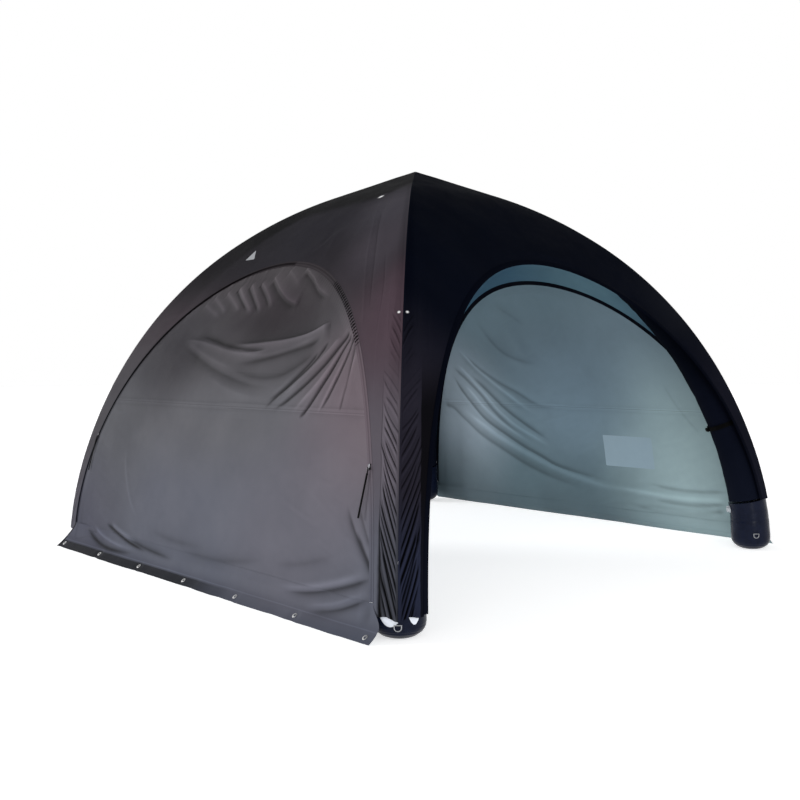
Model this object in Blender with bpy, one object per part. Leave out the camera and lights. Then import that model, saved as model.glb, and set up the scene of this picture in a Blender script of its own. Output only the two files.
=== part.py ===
"""Inflatable event tent, 3.3 m high, in metres, +Z up.

Four tapered air beams stand in the two diagonal planes and meet at a crown
hub. Fabric gores hang between the ridges, each cut away by a tall arch. Two
opposite arches are closed by zipped walls, the other two are entrances.
The origin is on the ground under the crown. Sides run along X and Y:
the closed walls face -Y and +Y, the entrances face +X and -X.
"""

import math

import bmesh
import bpy
import numpy as np
from mathutils import Matrix, Vector

# ---------------------------------------------------------------- dimensions
CROWN_Z = 3.310  # where the four ridge lines would meet, just above the roof
# Outer ridge line in a diagonal plane: a straight run from the crown, then a
# curve that meets the ground upright.
RIDGE_SLOPE = 16.0  # degrees below level
RIDGE_STRAIGHT_R = 0.719  # distance from the axis where the curve starts
RIDGE_BASE_R = 3.175  # distance from the axis at the ground
RIDGE_PULL_TOP = 2.000  # lengths of the curve's two handles
RIDGE_PULL_BASE = 0.728
BEAM_R_FOOT = 0.170  # air beam radius at the ground
BEAM_R_TOP = 0.100  # and at the crown hub
SKIN_T = 0.004  # roof and wall fabric, as modelled
SKIN_GAP = 0.008  # roof fabric stands this far off the beams
FOOT_WALL = 0.004  # coated boot round the lower end of each beam
FIT_GAP = 0.0005  # touching pieces
FOOT_TOP_Z = 0.460  # height of the boot's upper edge
FOOT_PAD_R = 0.085  # flat part of the boot's underside
HUB_REACH = 0.260  # hub arms run this far from the axis along each ridge
SIDES = 16  # facets round a beam

ARCH_HALF_W = 2.060  # half width of an arch at the ground
ARCH_TOP_Z = 2.440  # crown of an arch
ZIP_HALF_W = 0.018  # half width of the zip tape round an arch
ZIP_T = 0.005
ARCH_STEPS = 32
WALL_LOW_Z = 0.170  # lower edge of a wall, behind the ground flap

HEM_TOP_Z = 0.215  # ground flap, lapped over the foot of each wall
HEM_KNEE_Z = 0.092  # below this the flap slants outwards
HEM_LOW_Z = 0.004
HEM_KICK = 0.110  # how far the flap's edge stands out
HEM_HALF_W = 2.170
EYELET_PITCH = 0.700
EYELET_COUNT = 7
EYELET_SHARE = 0.70  # how far down the slanted part of the flap
EYELET_R_OUT = 0.019
EYELET_R_IN = 0.0095

SLIDER_Z = 1.000  # height at which the zip sliders stand
PULL_LEN = 0.300

TIE_Z = 1.250  # height of the tie bands on the legs
TIE_W = 0.038

DRING_WIRE = 0.003
DRING_W = 0.044
DRING_H = 0.036


ROOT2 = math.sqrt(2.0)

# Leg name -> direction of its outer ridge from the axis; direction from the
# leg in which its tie-down ring sits, and the ring's height; height of the
# roof fabric's hem on that leg.
LEGS = {
    "front": (-45.0, -45.0, 0.104, 0.150),
    "right": (45.0, -45.0, 0.150, 0.450),
    "back": (135.0, 135.0, 0.104, 0.450),
    "left": (225.0, 135.0, 0.150, 0.150),
}
# Face name -> turn about Z that brings the -Y face to it, and the legs at its
# +X and -X ends before the turn.
FACES = {
    "front": (0.0, "front", "left"),
    "right": (90.0, "right", "front"),
    "back": (180.0, "back", "right"),
    "left": (270.0, "left", "back"),
}


# ---------------------------------------------------------------- materials
def material(name, colour, roughness, metallic=0.0):
    mat = bpy.data.materials.new(name)
    mat.use_nodes = True
    shader = mat.node_tree.nodes["Principled BSDF"]
    shader.inputs["Base Color"].default_value = (*colour, 1.0)
    shader.inputs["Roughness"].default_value = roughness
    shader.inputs["Metallic"].default_value = metallic
    mat.diffuse_color = (*colour, 1.0)
    return mat


for old in list(bpy.data.objects):
    bpy.data.objects.remove(old, do_unlink=True)

SLEEVE = ("beam sleeve", (0.010, 0.012, 0.020), 0.75, 0.0)
COATED = ("coated boot", (0.006, 0.007, 0.012), 0.32, 0.0)
ROOF = ("roof fabric", (0.016, 0.016, 0.020), 0.70, 0.0)
WALL = ("wall fabric", (0.080, 0.084, 0.095), 0.72, 0.0)
HEM = ("hem fabric", (0.090, 0.092, 0.102), 0.75, 0.0)
ZIP = ("zip tape", (0.006, 0.006, 0.008), 0.60, 0.0)
ZINC = ("zip slider", (0.030, 0.030, 0.034), 0.35, 0.9)
WEB = ("black webbing", (0.008, 0.008, 0.009), 0.80, 0.0)
STEEL = ("ring steel", (0.620, 0.630, 0.650), 0.25, 1.0)
NICKEL = ("eyelet metal", (0.700, 0.700, 0.700), 0.28, 1.0)
PALE = ("valve plastic", (0.550, 0.570, 0.590), 0.45, 0.0)


# ------------------------------------------------------------ mesh helpers
def mesh_from(name, verts, faces):
    mesh = bpy.data.meshes.new(name)
    mesh.from_pydata([tuple(map(float, v)) for v in verts], [], faces)
    bm = bmesh.new()
    bm.from_mesh(mesh)
    bmesh.ops.recalc_face_normals(bm, faces=bm.faces)
    bm.to_mesh(mesh)
    bm.free()
    return mesh


def place(name, mesh, spec, origin=(0.0, 0.0, 0.0), turn=None, smooth=35.0):
    """A named object with its own material; origin is where the mesh's zero goes."""
    obj = bpy.data.objects.new(name, mesh)
    bpy.context.scene.collection.objects.link(obj)
    obj.matrix_world = Matrix.Translation(Vector(origin)) @ (
        turn.to_4x4() if turn is not None else Matrix.Identity(4)
    )
    mat = material(name + " " + spec[0], *spec[1:])
    if mesh.users > 1 and len(mesh.materials) == 1:
        obj.material_slots[0].link = "OBJECT"
        obj.material_slots[0].material = mat
    else:
        mesh.materials.append(mat)
    mesh.shade_smooth()
    mesh.set_sharp_from_angle(angle=math.radians(smooth))
    return obj


def solid_between(outer, inner, tip=False):
    """Closed solid between two grids of points [row][column]; with tip, the last row is one point."""
    rows, cols = len(outer), len(outer[0])
    verts, index = [], {}
    for side, grid in ((0, outer), (1, inner)):
        for i in range(rows):
            for j in range(cols):
                if tip and i == rows - 1 and j:
                    index[side, i, j] = index[side, i, 0]
                    continue
                index[side, i, j] = len(verts)
                verts.append(grid[i][j])
    faces = []

    def add(*keys):
        loop = []
        for key in keys:
            v = index[key]
            if v not in loop:
                loop.append(v)
        if len(loop) > 2:
            faces.append(loop)

    for i in range(rows - 1):
        for j in range(cols - 1):
            add((0, i, j), (0, i, j + 1), (0, i + 1, j + 1), (0, i + 1, j))
            add((1, i, j), (1, i + 1, j), (1, i + 1, j + 1), (1, i, j + 1))
    for i in range(rows - 1):
        for j in (0, cols - 1):
            add((0, i, j), (0, i + 1, j), (1, i + 1, j), (1, i, j))
    for j in range(cols - 1):
        for i in (0, rows - 1):
            add((0, i, j), (0, i, j + 1), (1, i, j + 1), (1, i, j))
    return verts, faces


def tube_of_rings(rings, close=True):
    """Solid through rings of equal count; with close the ends are capped, otherwise the last joins the first."""
    n = len(rings[0])
    verts = [p for ring in rings for p in ring]
    faces = []
    pairs = [(i, i + 1) for i in range(len(rings) - 1)]
    if not close:
        pairs.append((len(rings) - 1, 0))
    for a, b in pairs:
        for k in range(n):
            m = (k + 1) % n
            faces.append([a * n + k, a * n + m, b * n + m, b * n + k])
    if close:
        faces.append(list(range(n)))
        faces.append([(len(rings) - 1) * n + k for k in reversed(range(n))])
    return verts, faces


def turned(profile, steps):
    """Points of a closed (radius, height) outline turned about Z, as a ring-shaped solid."""
    rings = []
    for k in range(steps):
        a = 2 * math.pi * k / steps
        rings.append([(r * math.cos(a), r * math.sin(a), z) for r, z in profile])
    return tube_of_rings(rings, close=False)


def turned_solid(profile, steps):
    """A solid turned about Z from (radius, height) pairs, capped at both ends."""
    rings = []
    for r, z in profile:
        rings.append(
            [
                (
                    r * math.cos(2 * math.pi * k / steps),
                    r * math.sin(2 * math.pi * k / steps),
                    z,
                )
                for k in range(steps)
            ]
        )
    return tube_of_rings(rings)


def block(cx, cy, cz, sx, sy, sz, bevel=0.0):
    bm = bmesh.new()
    bmesh.ops.create_cube(bm, size=1.0)
    bmesh.ops.scale(bm, vec=(sx, sy, sz), verts=bm.verts)
    if bevel:
        bmesh.ops.bevel(
            bm,
            geom=list(bm.edges),
            offset=bevel,
            segments=1,
            affect="EDGES",
            profile=0.5,
        )
    bmesh.ops.translate(bm, vec=(cx, cy, cz), verts=bm.verts)
    mesh = bpy.data.meshes.new("block")
    bm.to_mesh(mesh)
    bm.free()
    return mesh


def rod_along_x(cx, cy, cz, radius, length, steps=12):
    verts, faces = turned_solid([(radius, -length / 2), (radius, length / 2)], steps)
    verts = [(cx + z, cy + y, cz - x) for x, y, z in verts]
    return mesh_from("rod", verts, faces)


def ring_along_x(cx, cy, cz, r_in, r_out, length, steps=12):
    half = length / 2
    verts, faces = turned(
        [(r_in, -half), (r_out, -half), (r_out, half), (r_in, half)], steps
    )
    verts = [(cx + z, cy + y, cz - x) for x, y, z in verts]
    return mesh_from("ring", verts, faces)


def joined(name, meshes):
    """One mesh from several overlapping closed ones, by Boolean unions."""
    base = bpy.data.objects.new(name, meshes[0])
    bpy.context.scene.collection.objects.link(base)
    extras = []
    for k, mesh in enumerate(meshes[1:]):
        extra = bpy.data.objects.new("%s add %d" % (name, k), mesh)
        bpy.context.scene.collection.objects.link(extra)
        mod = base.modifiers.new("join %d" % k, "BOOLEAN")
        mod.operation = "UNION"
        mod.solver = "EXACT"
        mod.object = extra
        extras.append(extra)
    bpy.context.view_layer.update()
    graph = bpy.context.evaluated_depsgraph_get()
    result = bpy.data.meshes.new_from_object(base.evaluated_get(graph))
    result.name = name
    for obj in extras + [base]:
        bpy.data.objects.remove(obj, do_unlink=True)
    result.materials.clear()
    return result


def baked(mesh, turn, origin):
    """The mesh's points and faces, turned and moved."""
    mat = Matrix.Translation(Vector(origin)) @ turn.to_4x4()
    return [mat @ v.co for v in mesh.vertices], [list(p.vertices) for p in mesh.polygons]


# --------------------------------------------------------- shape of the tent
def ridge_curve(steps=400):
    """The outer ridge line from the crown to the ground, as an array of (r, z)."""
    a = math.radians(RIDGE_SLOPE)
    down = np.array([math.cos(a), -math.sin(a)])
    crown = np.array([0.0, CROWN_Z])
    p0 = crown + down * (RIDGE_STRAIGHT_R / math.cos(a))
    p1 = p0 + down * RIDGE_PULL_TOP
    p2 = np.array([RIDGE_BASE_R, RIDGE_PULL_BASE])
    p3 = np.array([RIDGE_BASE_R, 0.0])
    t = np.linspace(0, 1, steps)[:, None]
    bend = (
        (1 - t) ** 3 * p0
        + 3 * (1 - t) ** 2 * t * p1
        + 3 * (1 - t) * t**2 * p2
        + t**3 * p3
    )
    run = np.linspace(0, 1, 60)[:-1, None]
    return np.vstack([crown + (p0 - crown) * run, bend])


CURVE = ridge_curve()
STEP = np.linalg.norm(np.diff(CURVE, axis=0), axis=1)
RUN = np.concatenate([[0.0], np.cumsum(STEP)])  # length from the crown
TANGENT = np.gradient(CURVE, RUN, axis=0)
TANGENT /= np.linalg.norm(TANGENT, axis=1)[:, None]
LENGTH = RUN[-1]


def run_at_height(z):
    return float(np.interp(-z, -CURVE[:, 1], RUN))


def beam_radius(run):
    u = min(max((run - HUB_REACH) / (LENGTH - HUB_REACH), 0.0), 1.0)
    return BEAM_R_TOP + (BEAM_R_FOOT - BEAM_R_TOP) * u


def ridge_at(run):
    r = float(np.interp(run, RUN, CURVE[:, 0]))
    z = float(np.interp(run, RUN, CURVE[:, 1]))
    t = np.array(
        [np.interp(run, RUN, TANGENT[:, 0]), np.interp(run, RUN, TANGENT[:, 1])]
    )
    return r, z, t / np.linalg.norm(t)


def slice_shape(z):
    """Half length of a side's flat part, and corner radius, of the roof's outline at height z."""
    run = run_at_height(z)
    r, _, t = ridge_at(run)
    steep = max(-t[1], 0.05)
    across = beam_radius(run)
    along = min(across / steep, 0.8 * r)
    corner = (math.hypot(along, across) - along) / (ROOT2 - 1)
    corner = min(corner, 0.35 * r)
    half = (r + (ROOT2 - 1) * corner) / ROOT2
    return half - corner, corner


def skin_point(sigma, z):
    """Point of the -Y face: sigma runs along the outline at height z, from the middle of the side."""
    flat, corner = slice_shape(z)
    side = 1.0 if sigma >= 0 else -1.0
    s = abs(sigma)
    if s <= flat:
        return np.array([sigma, -(flat + corner), z])
    turn = (s - flat) / max(corner, 1e-6)
    return np.array(
        [
            side * (flat + corner * math.sin(turn)),
            -(flat + corner * math.cos(turn)),
            z,
        ]
    )


def skin_normal(sigma, z):
    e = 2e-4
    ds = skin_point(sigma + e, z) - skin_point(sigma - e, z)
    flat, corner = slice_shape(z)
    if abs(sigma) > flat + corner * math.pi / 4 - 2 * e:
        side = 1.0 if sigma >= 0 else -1.0
        ds = np.array([1.0, side, 0.0])
    z2 = min(z + e, CROWN_Z - 1e-5)
    dz = skin_point(sigma, z2) - skin_point(sigma, z2 - 2 * e)
    n = np.cross(ds, dz)
    return n / np.linalg.norm(n)


def turned_about_z(points, degrees):
    a = math.radians(degrees)
    c, s = math.cos(a), math.sin(a)
    return [(c * p[0] - s * p[1], s * p[0] + c * p[1], p[2]) for p in points]


# ------------------------------------------------------- air beams and boots
def ring_points(centre_r, centre_z, tilt, radius, degrees):
    """One ring of a beam: a facet faces the outer ridge. tilt leans the ring with the beam."""
    a = math.radians(degrees)
    out = np.array([math.cos(a), math.sin(a), 0.0])
    side = np.array([-math.sin(a), math.cos(a), 0.0])
    up = np.array([0.0, 0.0, 1.0])
    lean = math.cos(tilt) * out + math.sin(tilt) * up
    centre = out * centre_r + up * centre_z
    ring = []
    for k in range(SIDES):
        b = 2 * math.pi * (k + 0.5) / SIDES
        ring.append(centre + radius * (math.cos(b) * lean + math.sin(b) * side))
    return ring


def beam_station(run, inset=0.0):
    """(centre r, centre z, tilt, radius) of the beam at this length from the crown."""
    r, z, t = ridge_at(run)
    n = np.array([-t[1], t[0]])
    radius = beam_radius(run)
    centre = np.array([r, z]) - n * (radius + SKIN_GAP + SKIN_T)
    return centre[0], centre[1], math.atan2(n[1], n[0]), radius - inset


BOOT_BEND_Z = 0.300  # below this the beam straightens up to the ground


def boot_centre(z, inset=0.0):
    """Distance of the boot's centre line from the axis at height z below the bend."""
    r, low_z, _, _ = beam_station(run_at_height(BOOT_BEND_Z), inset)
    share = min(max((low_z - z) / low_z, 0.0), 1.0)
    return r + 0.014 * math.sin(share * math.pi / 2)


def foot_stations(inset=0.0, raise_by=0.0):
    """Rings of the boot from its top edge down to its flat underside."""
    rings = [
        beam_station(run_at_height(FOOT_TOP_Z), inset),
        beam_station(run_at_height(0.340), inset),
    ]
    lean = beam_station(run_at_height(BOOT_BEND_Z))[2]
    full = beam_radius(LENGTH)
    for z, radius, share in (
        (0.220, full - 0.003, 0.45),
        (0.100, full, 0.0),
        (0.066, full - 0.005, 0.0),
        (0.036, full - 0.022, 0.0),
        (0.013, full - 0.052, 0.0),
        (0.000, FOOT_PAD_R, 0.0),
    ):
        lift = raise_by * (1.0 - min(z / 0.100, 1.0))
        rings.append((boot_centre(z, inset), z + lift, lean * share, radius - inset))
    return rings


def dring_holder_mesh():
    """Welded patch with a webbing tunnel for the ring's bar. X is along the bar, -Y is away from the boot."""
    patch = block(0, 0.0, -0.004, 0.040, 0.004, 0.056, 0.0008)
    tunnel = block(0, -0.0075, 0, 0.022, 0.014, 0.015, 0.002)
    outer = joined("holder", [patch, tunnel])
    base = bpy.data.objects.new("holder base", outer)
    bore = bpy.data.objects.new(
        "holder bore", rod_along_x(0, -0.0085, 0, DRING_WIRE + 0.0012, 0.05)
    )
    for obj in (base, bore):
        bpy.context.scene.collection.objects.link(obj)
    mod = base.modifiers.new("bore", "BOOLEAN")
    mod.operation = "DIFFERENCE"
    mod.solver = "EXACT"
    mod.object = bore
    bpy.context.view_layer.update()
    graph = bpy.context.evaluated_depsgraph_get()
    result = bpy.data.meshes.new_from_object(base.evaluated_get(graph))
    for obj in (base, bore):
        bpy.data.objects.remove(obj, do_unlink=True)
    result.materials.clear()
    return result


HOLDER = dring_holder_mesh()


def ring_site(leg):
    """Origin of the tie-down ring's bar on a boot, and its turn about Z."""
    degrees, aim, height, _ = LEGS[leg]
    a, b = math.radians(degrees), math.radians(aim)
    foot_r = boot_centre(height)
    centre = Vector((foot_r * math.cos(a), foot_r * math.sin(a), height))
    out = Vector((math.cos(b), math.sin(b), 0.0))
    reach = (BEAM_R_FOOT + 0.0007) * math.cos(math.pi / SIDES)
    # the holder's -Y points away from the boot
    return centre + out * reach, Matrix.Rotation(b + math.pi / 2, 3, "Z")


BEAM_RUNS = np.linspace(HUB_REACH + 0.0004, run_at_height(FOOT_TOP_Z) - 0.12, 14)

for leg, (degrees, *_) in LEGS.items():
    # The beam: from the hub's arm to the bottom of its boot.
    inset = FOOT_WALL + FIT_GAP
    rings = [ring_points(*beam_station(run, inset), degrees) for run in BEAM_RUNS]
    rings += [
        ring_points(*station, degrees)
        for station in foot_stations(inset, raise_by=inset)
    ]
    place("air_beam_" + leg, mesh_from("beam", *tube_of_rings(rings)), SLEEVE)

    # The boot: a cup round the beam's lower end, with a welded ring holder.
    outer = [ring_points(*s, degrees) for s in foot_stations()]
    inner = [
        ring_points(*s, degrees)
        for s in foot_stations(FOOT_WALL, raise_by=FOOT_WALL)
    ]
    verts, faces = tube_of_rings(outer + inner[::-1])
    # the two end caps of the loop are the boot's underside and its inner floor
    n = SIDES
    faces = faces[:-2]
    last = len(outer) - 1
    faces = [f for f in faces if not (last * n <= f[0] < (last + 1) * n)]
    faces.append([last * n + k for k in range(n)])
    faces.append([(last + 1) * n + k for k in range(n)])
    top_out, top_in = 0, (2 * len(outer) - 1) * n
    for k in range(n):
        m = (k + 1) % n
        faces.append([top_out + k, top_out + m, top_in + m, top_in + k])
    boot = mesh_from("boot", verts, faces)
    origin, turn = ring_site(leg)
    holder = mesh_from("holder", *baked(HOLDER, turn, origin))
    place("boot_" + leg, joined("boot_" + leg, [boot, holder]), COATED)

# The crown hub: one chamber stretched between the upper ends of the four beams.
hub = bmesh.new()
for leg, (degrees, *_) in LEGS.items():
    end = beam_station(HUB_REACH, FOOT_WALL + FIT_GAP)
    for p in ring_points(*end, degrees):
        hub.verts.new(p)
for z, radius in ((CROWN_Z - 0.018, 0.012), (CROWN_Z - 0.310, 0.090)):
    for k in range(8):
        b = math.pi * k / 4
        hub.verts.new((radius * math.cos(b), radius * math.sin(b), z))
shell = bmesh.ops.convex_hull(hub, input=hub.verts)
spare = [g for g in shell["geom_interior"] if isinstance(g, bmesh.types.BMVert)]
bmesh.ops.delete(hub, geom=spare, context="VERTS")
bmesh.ops.dissolve_limit(
    hub, angle_limit=math.radians(0.5), verts=hub.verts, edges=hub.edges
)
bmesh.ops.recalc_face_normals(hub, faces=hub.faces)
hub_mesh = bpy.data.meshes.new("hub")
hub.to_mesh(hub_mesh)
hub.free()
place("crown_hub", hub_mesh, SLEEVE)


# ------------------------------------------------ roof gores, zips and walls
def arch_angles(low_plus, low_minus):
    """Angles round an arch, from the height low_plus on its +X side to low_minus on its -X side."""
    a = math.asin(low_plus / ARCH_TOP_Z)
    b = math.pi - math.asin(low_minus / ARCH_TOP_Z)
    step = math.pi / ARCH_STEPS
    near = step / 40
    inner = [k * step for k in range(ARCH_STEPS) if a + near < k * step < b - near]
    return [a] + inner + [b]


def arch_point(angle, offset):
    """Point (x, z) of the faceted arch, moved outwards by offset."""
    k = min(int(angle / math.pi * ARCH_STEPS + 1e-9), ARCH_STEPS - 1)
    u = angle / math.pi * ARCH_STEPS - k
    ends = [
        (
            (ARCH_HALF_W + offset) * math.cos(math.pi * m / ARCH_STEPS),
            (ARCH_TOP_Z + offset) * math.sin(math.pi * m / ARCH_STEPS),
        )
        for m in (k, k + 1)
    ]
    return tuple(p + (q - p) * u for p, q in zip(*ends))


def ridge_share(share, hem_z):
    """(half outline, height) on the ridge, by share of the way from the hem to the crown."""
    low_run = run_at_height(hem_z)
    run = low_run + (0.035 - low_run) * share
    _, z, _ = ridge_at(run)
    flat, corner = slice_shape(z)
    return flat + corner * math.pi / 4 - FIT_GAP, z


def bend_share(arch, ridge):
    """Share of the way from an arch point to a ridge point where the skin starts to bend round the beam."""
    for k in range(95, 29, -1):
        u = k / 100
        sigma, z = arch[0] + (ridge[0] - arch[0]) * u, arch[1] + (ridge[1] - arch[1]) * u
        if abs(sigma) <= slice_shape(z)[0]:
            return u
    return 0.3


def gore_mesh(hem_plus, hem_minus):
    outer, inner = [], []
    angles = arch_angles(hem_plus, hem_minus)
    top = math.pi / 2
    for angle in angles:
        ax, az = arch_point(angle, ZIP_HALF_W + FIT_GAP)
        low, hem_z = (angles[0], hem_plus) if angle < top else (angles[-1], hem_minus)
        share = 1.0 - abs(angle - top) / abs(low - top)
        rx, rz = ridge_share(share, hem_z)
        rx = 0.0 if share > 1 - 1e-6 else math.copysign(rx, top - angle)
        row_out, row_in = [], []
        bend = bend_share((ax, az), (rx, rz))
        rest = 1.0 - bend
        for u in (0.0, bend / 2, bend, bend + rest / 3, bend + rest * 2 / 3, 1.0):
            sigma, z = ax + (rx - ax) * u, az + (rz - az) * u
            p = skin_point(sigma, z)
            row_out.append(p)
            row_in.append(p - SKIN_T * skin_normal(sigma, z))
        outer.append(row_out)
        inner.append(row_in)
    return solid_between(outer, inner)


def tape_mesh(low_plus, low_minus):
    """Tape round the arch, as wide as two zip halves."""
    outer, inner = [], []
    for angle in arch_angles(low_plus, low_minus):
        row_out, row_in = [], []
        for offset in (ZIP_HALF_W, -ZIP_HALF_W):
            x, z = arch_point(angle, offset)
            p = skin_point(x, z)
            n = skin_normal(x, z)
            row_out.append(p + 0.001 * n)
            row_in.append(p - (ZIP_T - 0.001) * n)
        outer.append(row_out)
        inner.append(row_in)
    return solid_between(outer, inner)


def wall_mesh():
    """The wall that fills an arch, down behind the ground flap."""
    across = 10
    outer, inner = [], []
    for angle in arch_angles(WALL_LOW_Z, WALL_LOW_Z):
        if angle > math.pi / 2 + 1e-6:
            break
        x, z = arch_point(angle, -(ZIP_HALF_W + FIT_GAP))
        row_out, row_in = [], []
        for j in range(across + 1):
            sigma = x * (2 * j / across - 1)
            p = skin_point(sigma, z)
            row_out.append(p)
            row_in.append(p - SKIN_T * skin_normal(sigma, z))
        outer.append(row_out)
        inner.append(row_in)
    return solid_between(outer, inner, tip=True)


def flap_y(z):
    """Outer face of the ground flap above its knee: lapped over the wall."""
    return -(sum(slice_shape(z)) + 0.0012 + SKIN_T)


def flap_outline(t):
    """(y, z) of the flap's outer face: t = 0 at the knee, 1 at its lower edge."""
    return (
        flap_y(HEM_KNEE_Z) - HEM_KICK * t,
        HEM_KNEE_Z + (HEM_LOW_Z - HEM_KNEE_Z) * t,
    )


HEM_SLANT = math.atan2(HEM_KICK, HEM_KNEE_Z - HEM_LOW_Z)


def eyelet_sites():
    sites = []
    y, z = flap_outline(EYELET_SHARE)
    out = Vector((0, -math.cos(HEM_SLANT), math.sin(HEM_SLANT)))
    for k in range(EYELET_COUNT):
        x = (k - (EYELET_COUNT - 1) / 2) * EYELET_PITCH
        sites.append((Vector((x, y, z)) - out * SKIN_T / 2, out))
    return sites


def hem_mesh():
    """Ground flap with a round hole for each eyelet."""
    rows = [
        (flap_y(HEM_TOP_Z), HEM_TOP_Z, SKIN_T),
        (flap_y(HEM_KNEE_Z), HEM_KNEE_Z, SKIN_T),
        (*flap_outline(1.0), SKIN_T / math.cos(HEM_SLANT)),
    ]
    across = 8
    outer, inner = [], []
    for y, z, thick in rows:
        row_out, row_in = [], []
        for j in range(across + 1):
            x = HEM_HALF_W * (2 * j / across - 1)
            row_out.append((x, y, z))
            row_in.append((x, y + thick, z))
        outer.append(row_out)
        inner.append(row_in)
    base = bpy.data.objects.new(
        "hem base", mesh_from("hem", *solid_between(outer, inner))
    )
    bpy.context.scene.collection.objects.link(base)
    cutters = []
    for k, (centre, out) in enumerate(eyelet_sites()):
        cv, cf = turned_solid(
            [(EYELET_R_IN + 0.0025, -0.02), (EYELET_R_IN + 0.0025, 0.02)], 12
        )
        turn = Vector((0, 0, 1)).rotation_difference(out).to_matrix()
        cutter_mesh = mesh_from("hole", cv, cf)
        cutter = bpy.data.objects.new("hole %d" % k, cutter_mesh)
        cutter.matrix_world = Matrix.Translation(centre) @ turn.to_4x4()
        bpy.context.scene.collection.objects.link(cutter)
        mod = base.modifiers.new("hole %d" % k, "BOOLEAN")
        mod.operation = "DIFFERENCE"
        mod.solver = "EXACT"
        mod.object = cutter
        cutters.append(cutter)
    bpy.context.view_layer.update()
    graph = bpy.context.evaluated_depsgraph_get()
    result = bpy.data.meshes.new_from_object(base.evaluated_get(graph))
    for obj in cutters + [base]:
        bpy.data.objects.remove(obj, do_unlink=True)
    result.materials.clear()
    return [v.co.copy() for v in result.vertices], [
        list(p.vertices) for p in result.polygons
    ]


closed_tape = tape_mesh(HEM_TOP_Z + 0.002, HEM_TOP_Z + 0.002)
wall = wall_mesh()
hem = hem_mesh()
for face, (degrees, leg_plus, leg_minus) in FACES.items():
    hems = LEGS[leg_plus][3], LEGS[leg_minus][3]
    gore = gore_mesh(*hems)
    place(
        "roof_gore_" + face,
        mesh_from("gore", turned_about_z(gore[0], degrees), gore[1]),
        ROOF,
    )
    closed = face in ("front", "back")
    tape = closed_tape if closed else tape_mesh(*hems)
    place(
        ("arch_zip_" if closed else "arch_trim_") + face,
        mesh_from("tape", turned_about_z(tape[0], degrees), tape[1]),
        ZIP,
    )
    if closed:
        place(
            "wall_" + face,
            mesh_from("wall", turned_about_z(wall[0], degrees), wall[1]),
            WALL,
        )
        place(
            "ground_flap_" + face,
            mesh_from("hem", turned_about_z(hem[0], degrees), hem[1]),
            HEM,
        )

# Eyelets of the front flap: a flange on each face, and a barrel through the hole.
barrel = EYELET_R_IN + 0.0018
half_t = SKIN_T / 2
eyelet_outline = [
    (EYELET_R_IN, -half_t - 0.0020),
    (EYELET_R_OUT, -half_t - 0.0009),
    (EYELET_R_OUT, -half_t - 0.0004),
    (barrel, -half_t - 0.0004),
    (barrel, half_t + 0.0004),
    (EYELET_R_OUT, half_t + 0.0004),
    (EYELET_R_OUT, half_t + 0.0009),
    (EYELET_R_IN, half_t + 0.0020),
]
eyelet_mesh = mesh_from("eyelet", *turned(eyelet_outline, 12))
for k, (centre, out) in enumerate(eyelet_sites()):
    turn = Vector((0, 0, 1)).rotation_difference(out).to_matrix()
    place("eyelet_%d" % (k + 1), eyelet_mesh, NICKEL, centre, turn)


# ------------------------------------------------------ zip sliders and pulls
def slider_mesh(tilt):
    """Slider whose body leans with the zip by tilt. X is level, -Y away from the wall, Z up the wall."""
    body = block(0, -0.005, 0.006, 0.020, 0.008, 0.040, 0.002)
    body.transform(Matrix.Rotation(tilt, 4, "Y"))
    return joined(
        "slider",
        [
            body,
            block(-0.0065, -0.0130, -0.004, 0.003, 0.012, 0.012),
            block(0.0065, -0.0130, -0.004, 0.003, 0.012, 0.012),
            rod_along_x(0, -0.0150, -0.004, 0.0018, 0.0135, 10),
        ],
    )


PULL = joined(
    "pull",
    [
        ring_along_x(0, 0, 0, 0.0028, 0.0052, 0.007, 10),
        block(0, 0, -0.0044 - PULL_LEN / 2, 0.007, 0.003, PULL_LEN),
        block(0, 0, -0.022 - PULL_LEN / 2, 0.016, 0.0024, PULL_LEN - 0.02),
    ],
)


def zip_line(side, z):
    x = side * ARCH_HALF_W * math.sqrt(1 - (z / ARCH_TOP_Z) ** 2)
    return Vector(skin_point(x, z))


for face in ("front", "back"):
    about = Matrix.Rotation(math.radians(FACES[face][0]), 3, "Z")
    for side, word in ((-1, "a"), (1, "b")):
        here = zip_line(side, SLIDER_Z)
        along = (zip_line(side, SLIDER_Z + 0.001) - here).normalized()
        normal = Vector(skin_normal(here.x, SLIDER_Z))
        level = Vector((0, 0, 1)).cross(normal).normalized()
        up = normal.cross(level).normalized()
        frame = Matrix((level, up.cross(level), up)).transposed()
        tilt = math.atan2(along.dot(level), along.dot(up))
        turn = about @ frame
        origin = about @ (here + normal * 0.0016)
        place(
            "zip_slider_%s_%s" % (face, word), slider_mesh(tilt), ZINC, origin, turn
        )
        # The pull hangs from the slider's pin and lies along the wall.
        pin = origin + turn @ Vector((0, -0.0150, -0.004))
        place("zip_pull_%s_%s" % (face, word), PULL, WEB, pin, turn)

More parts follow.
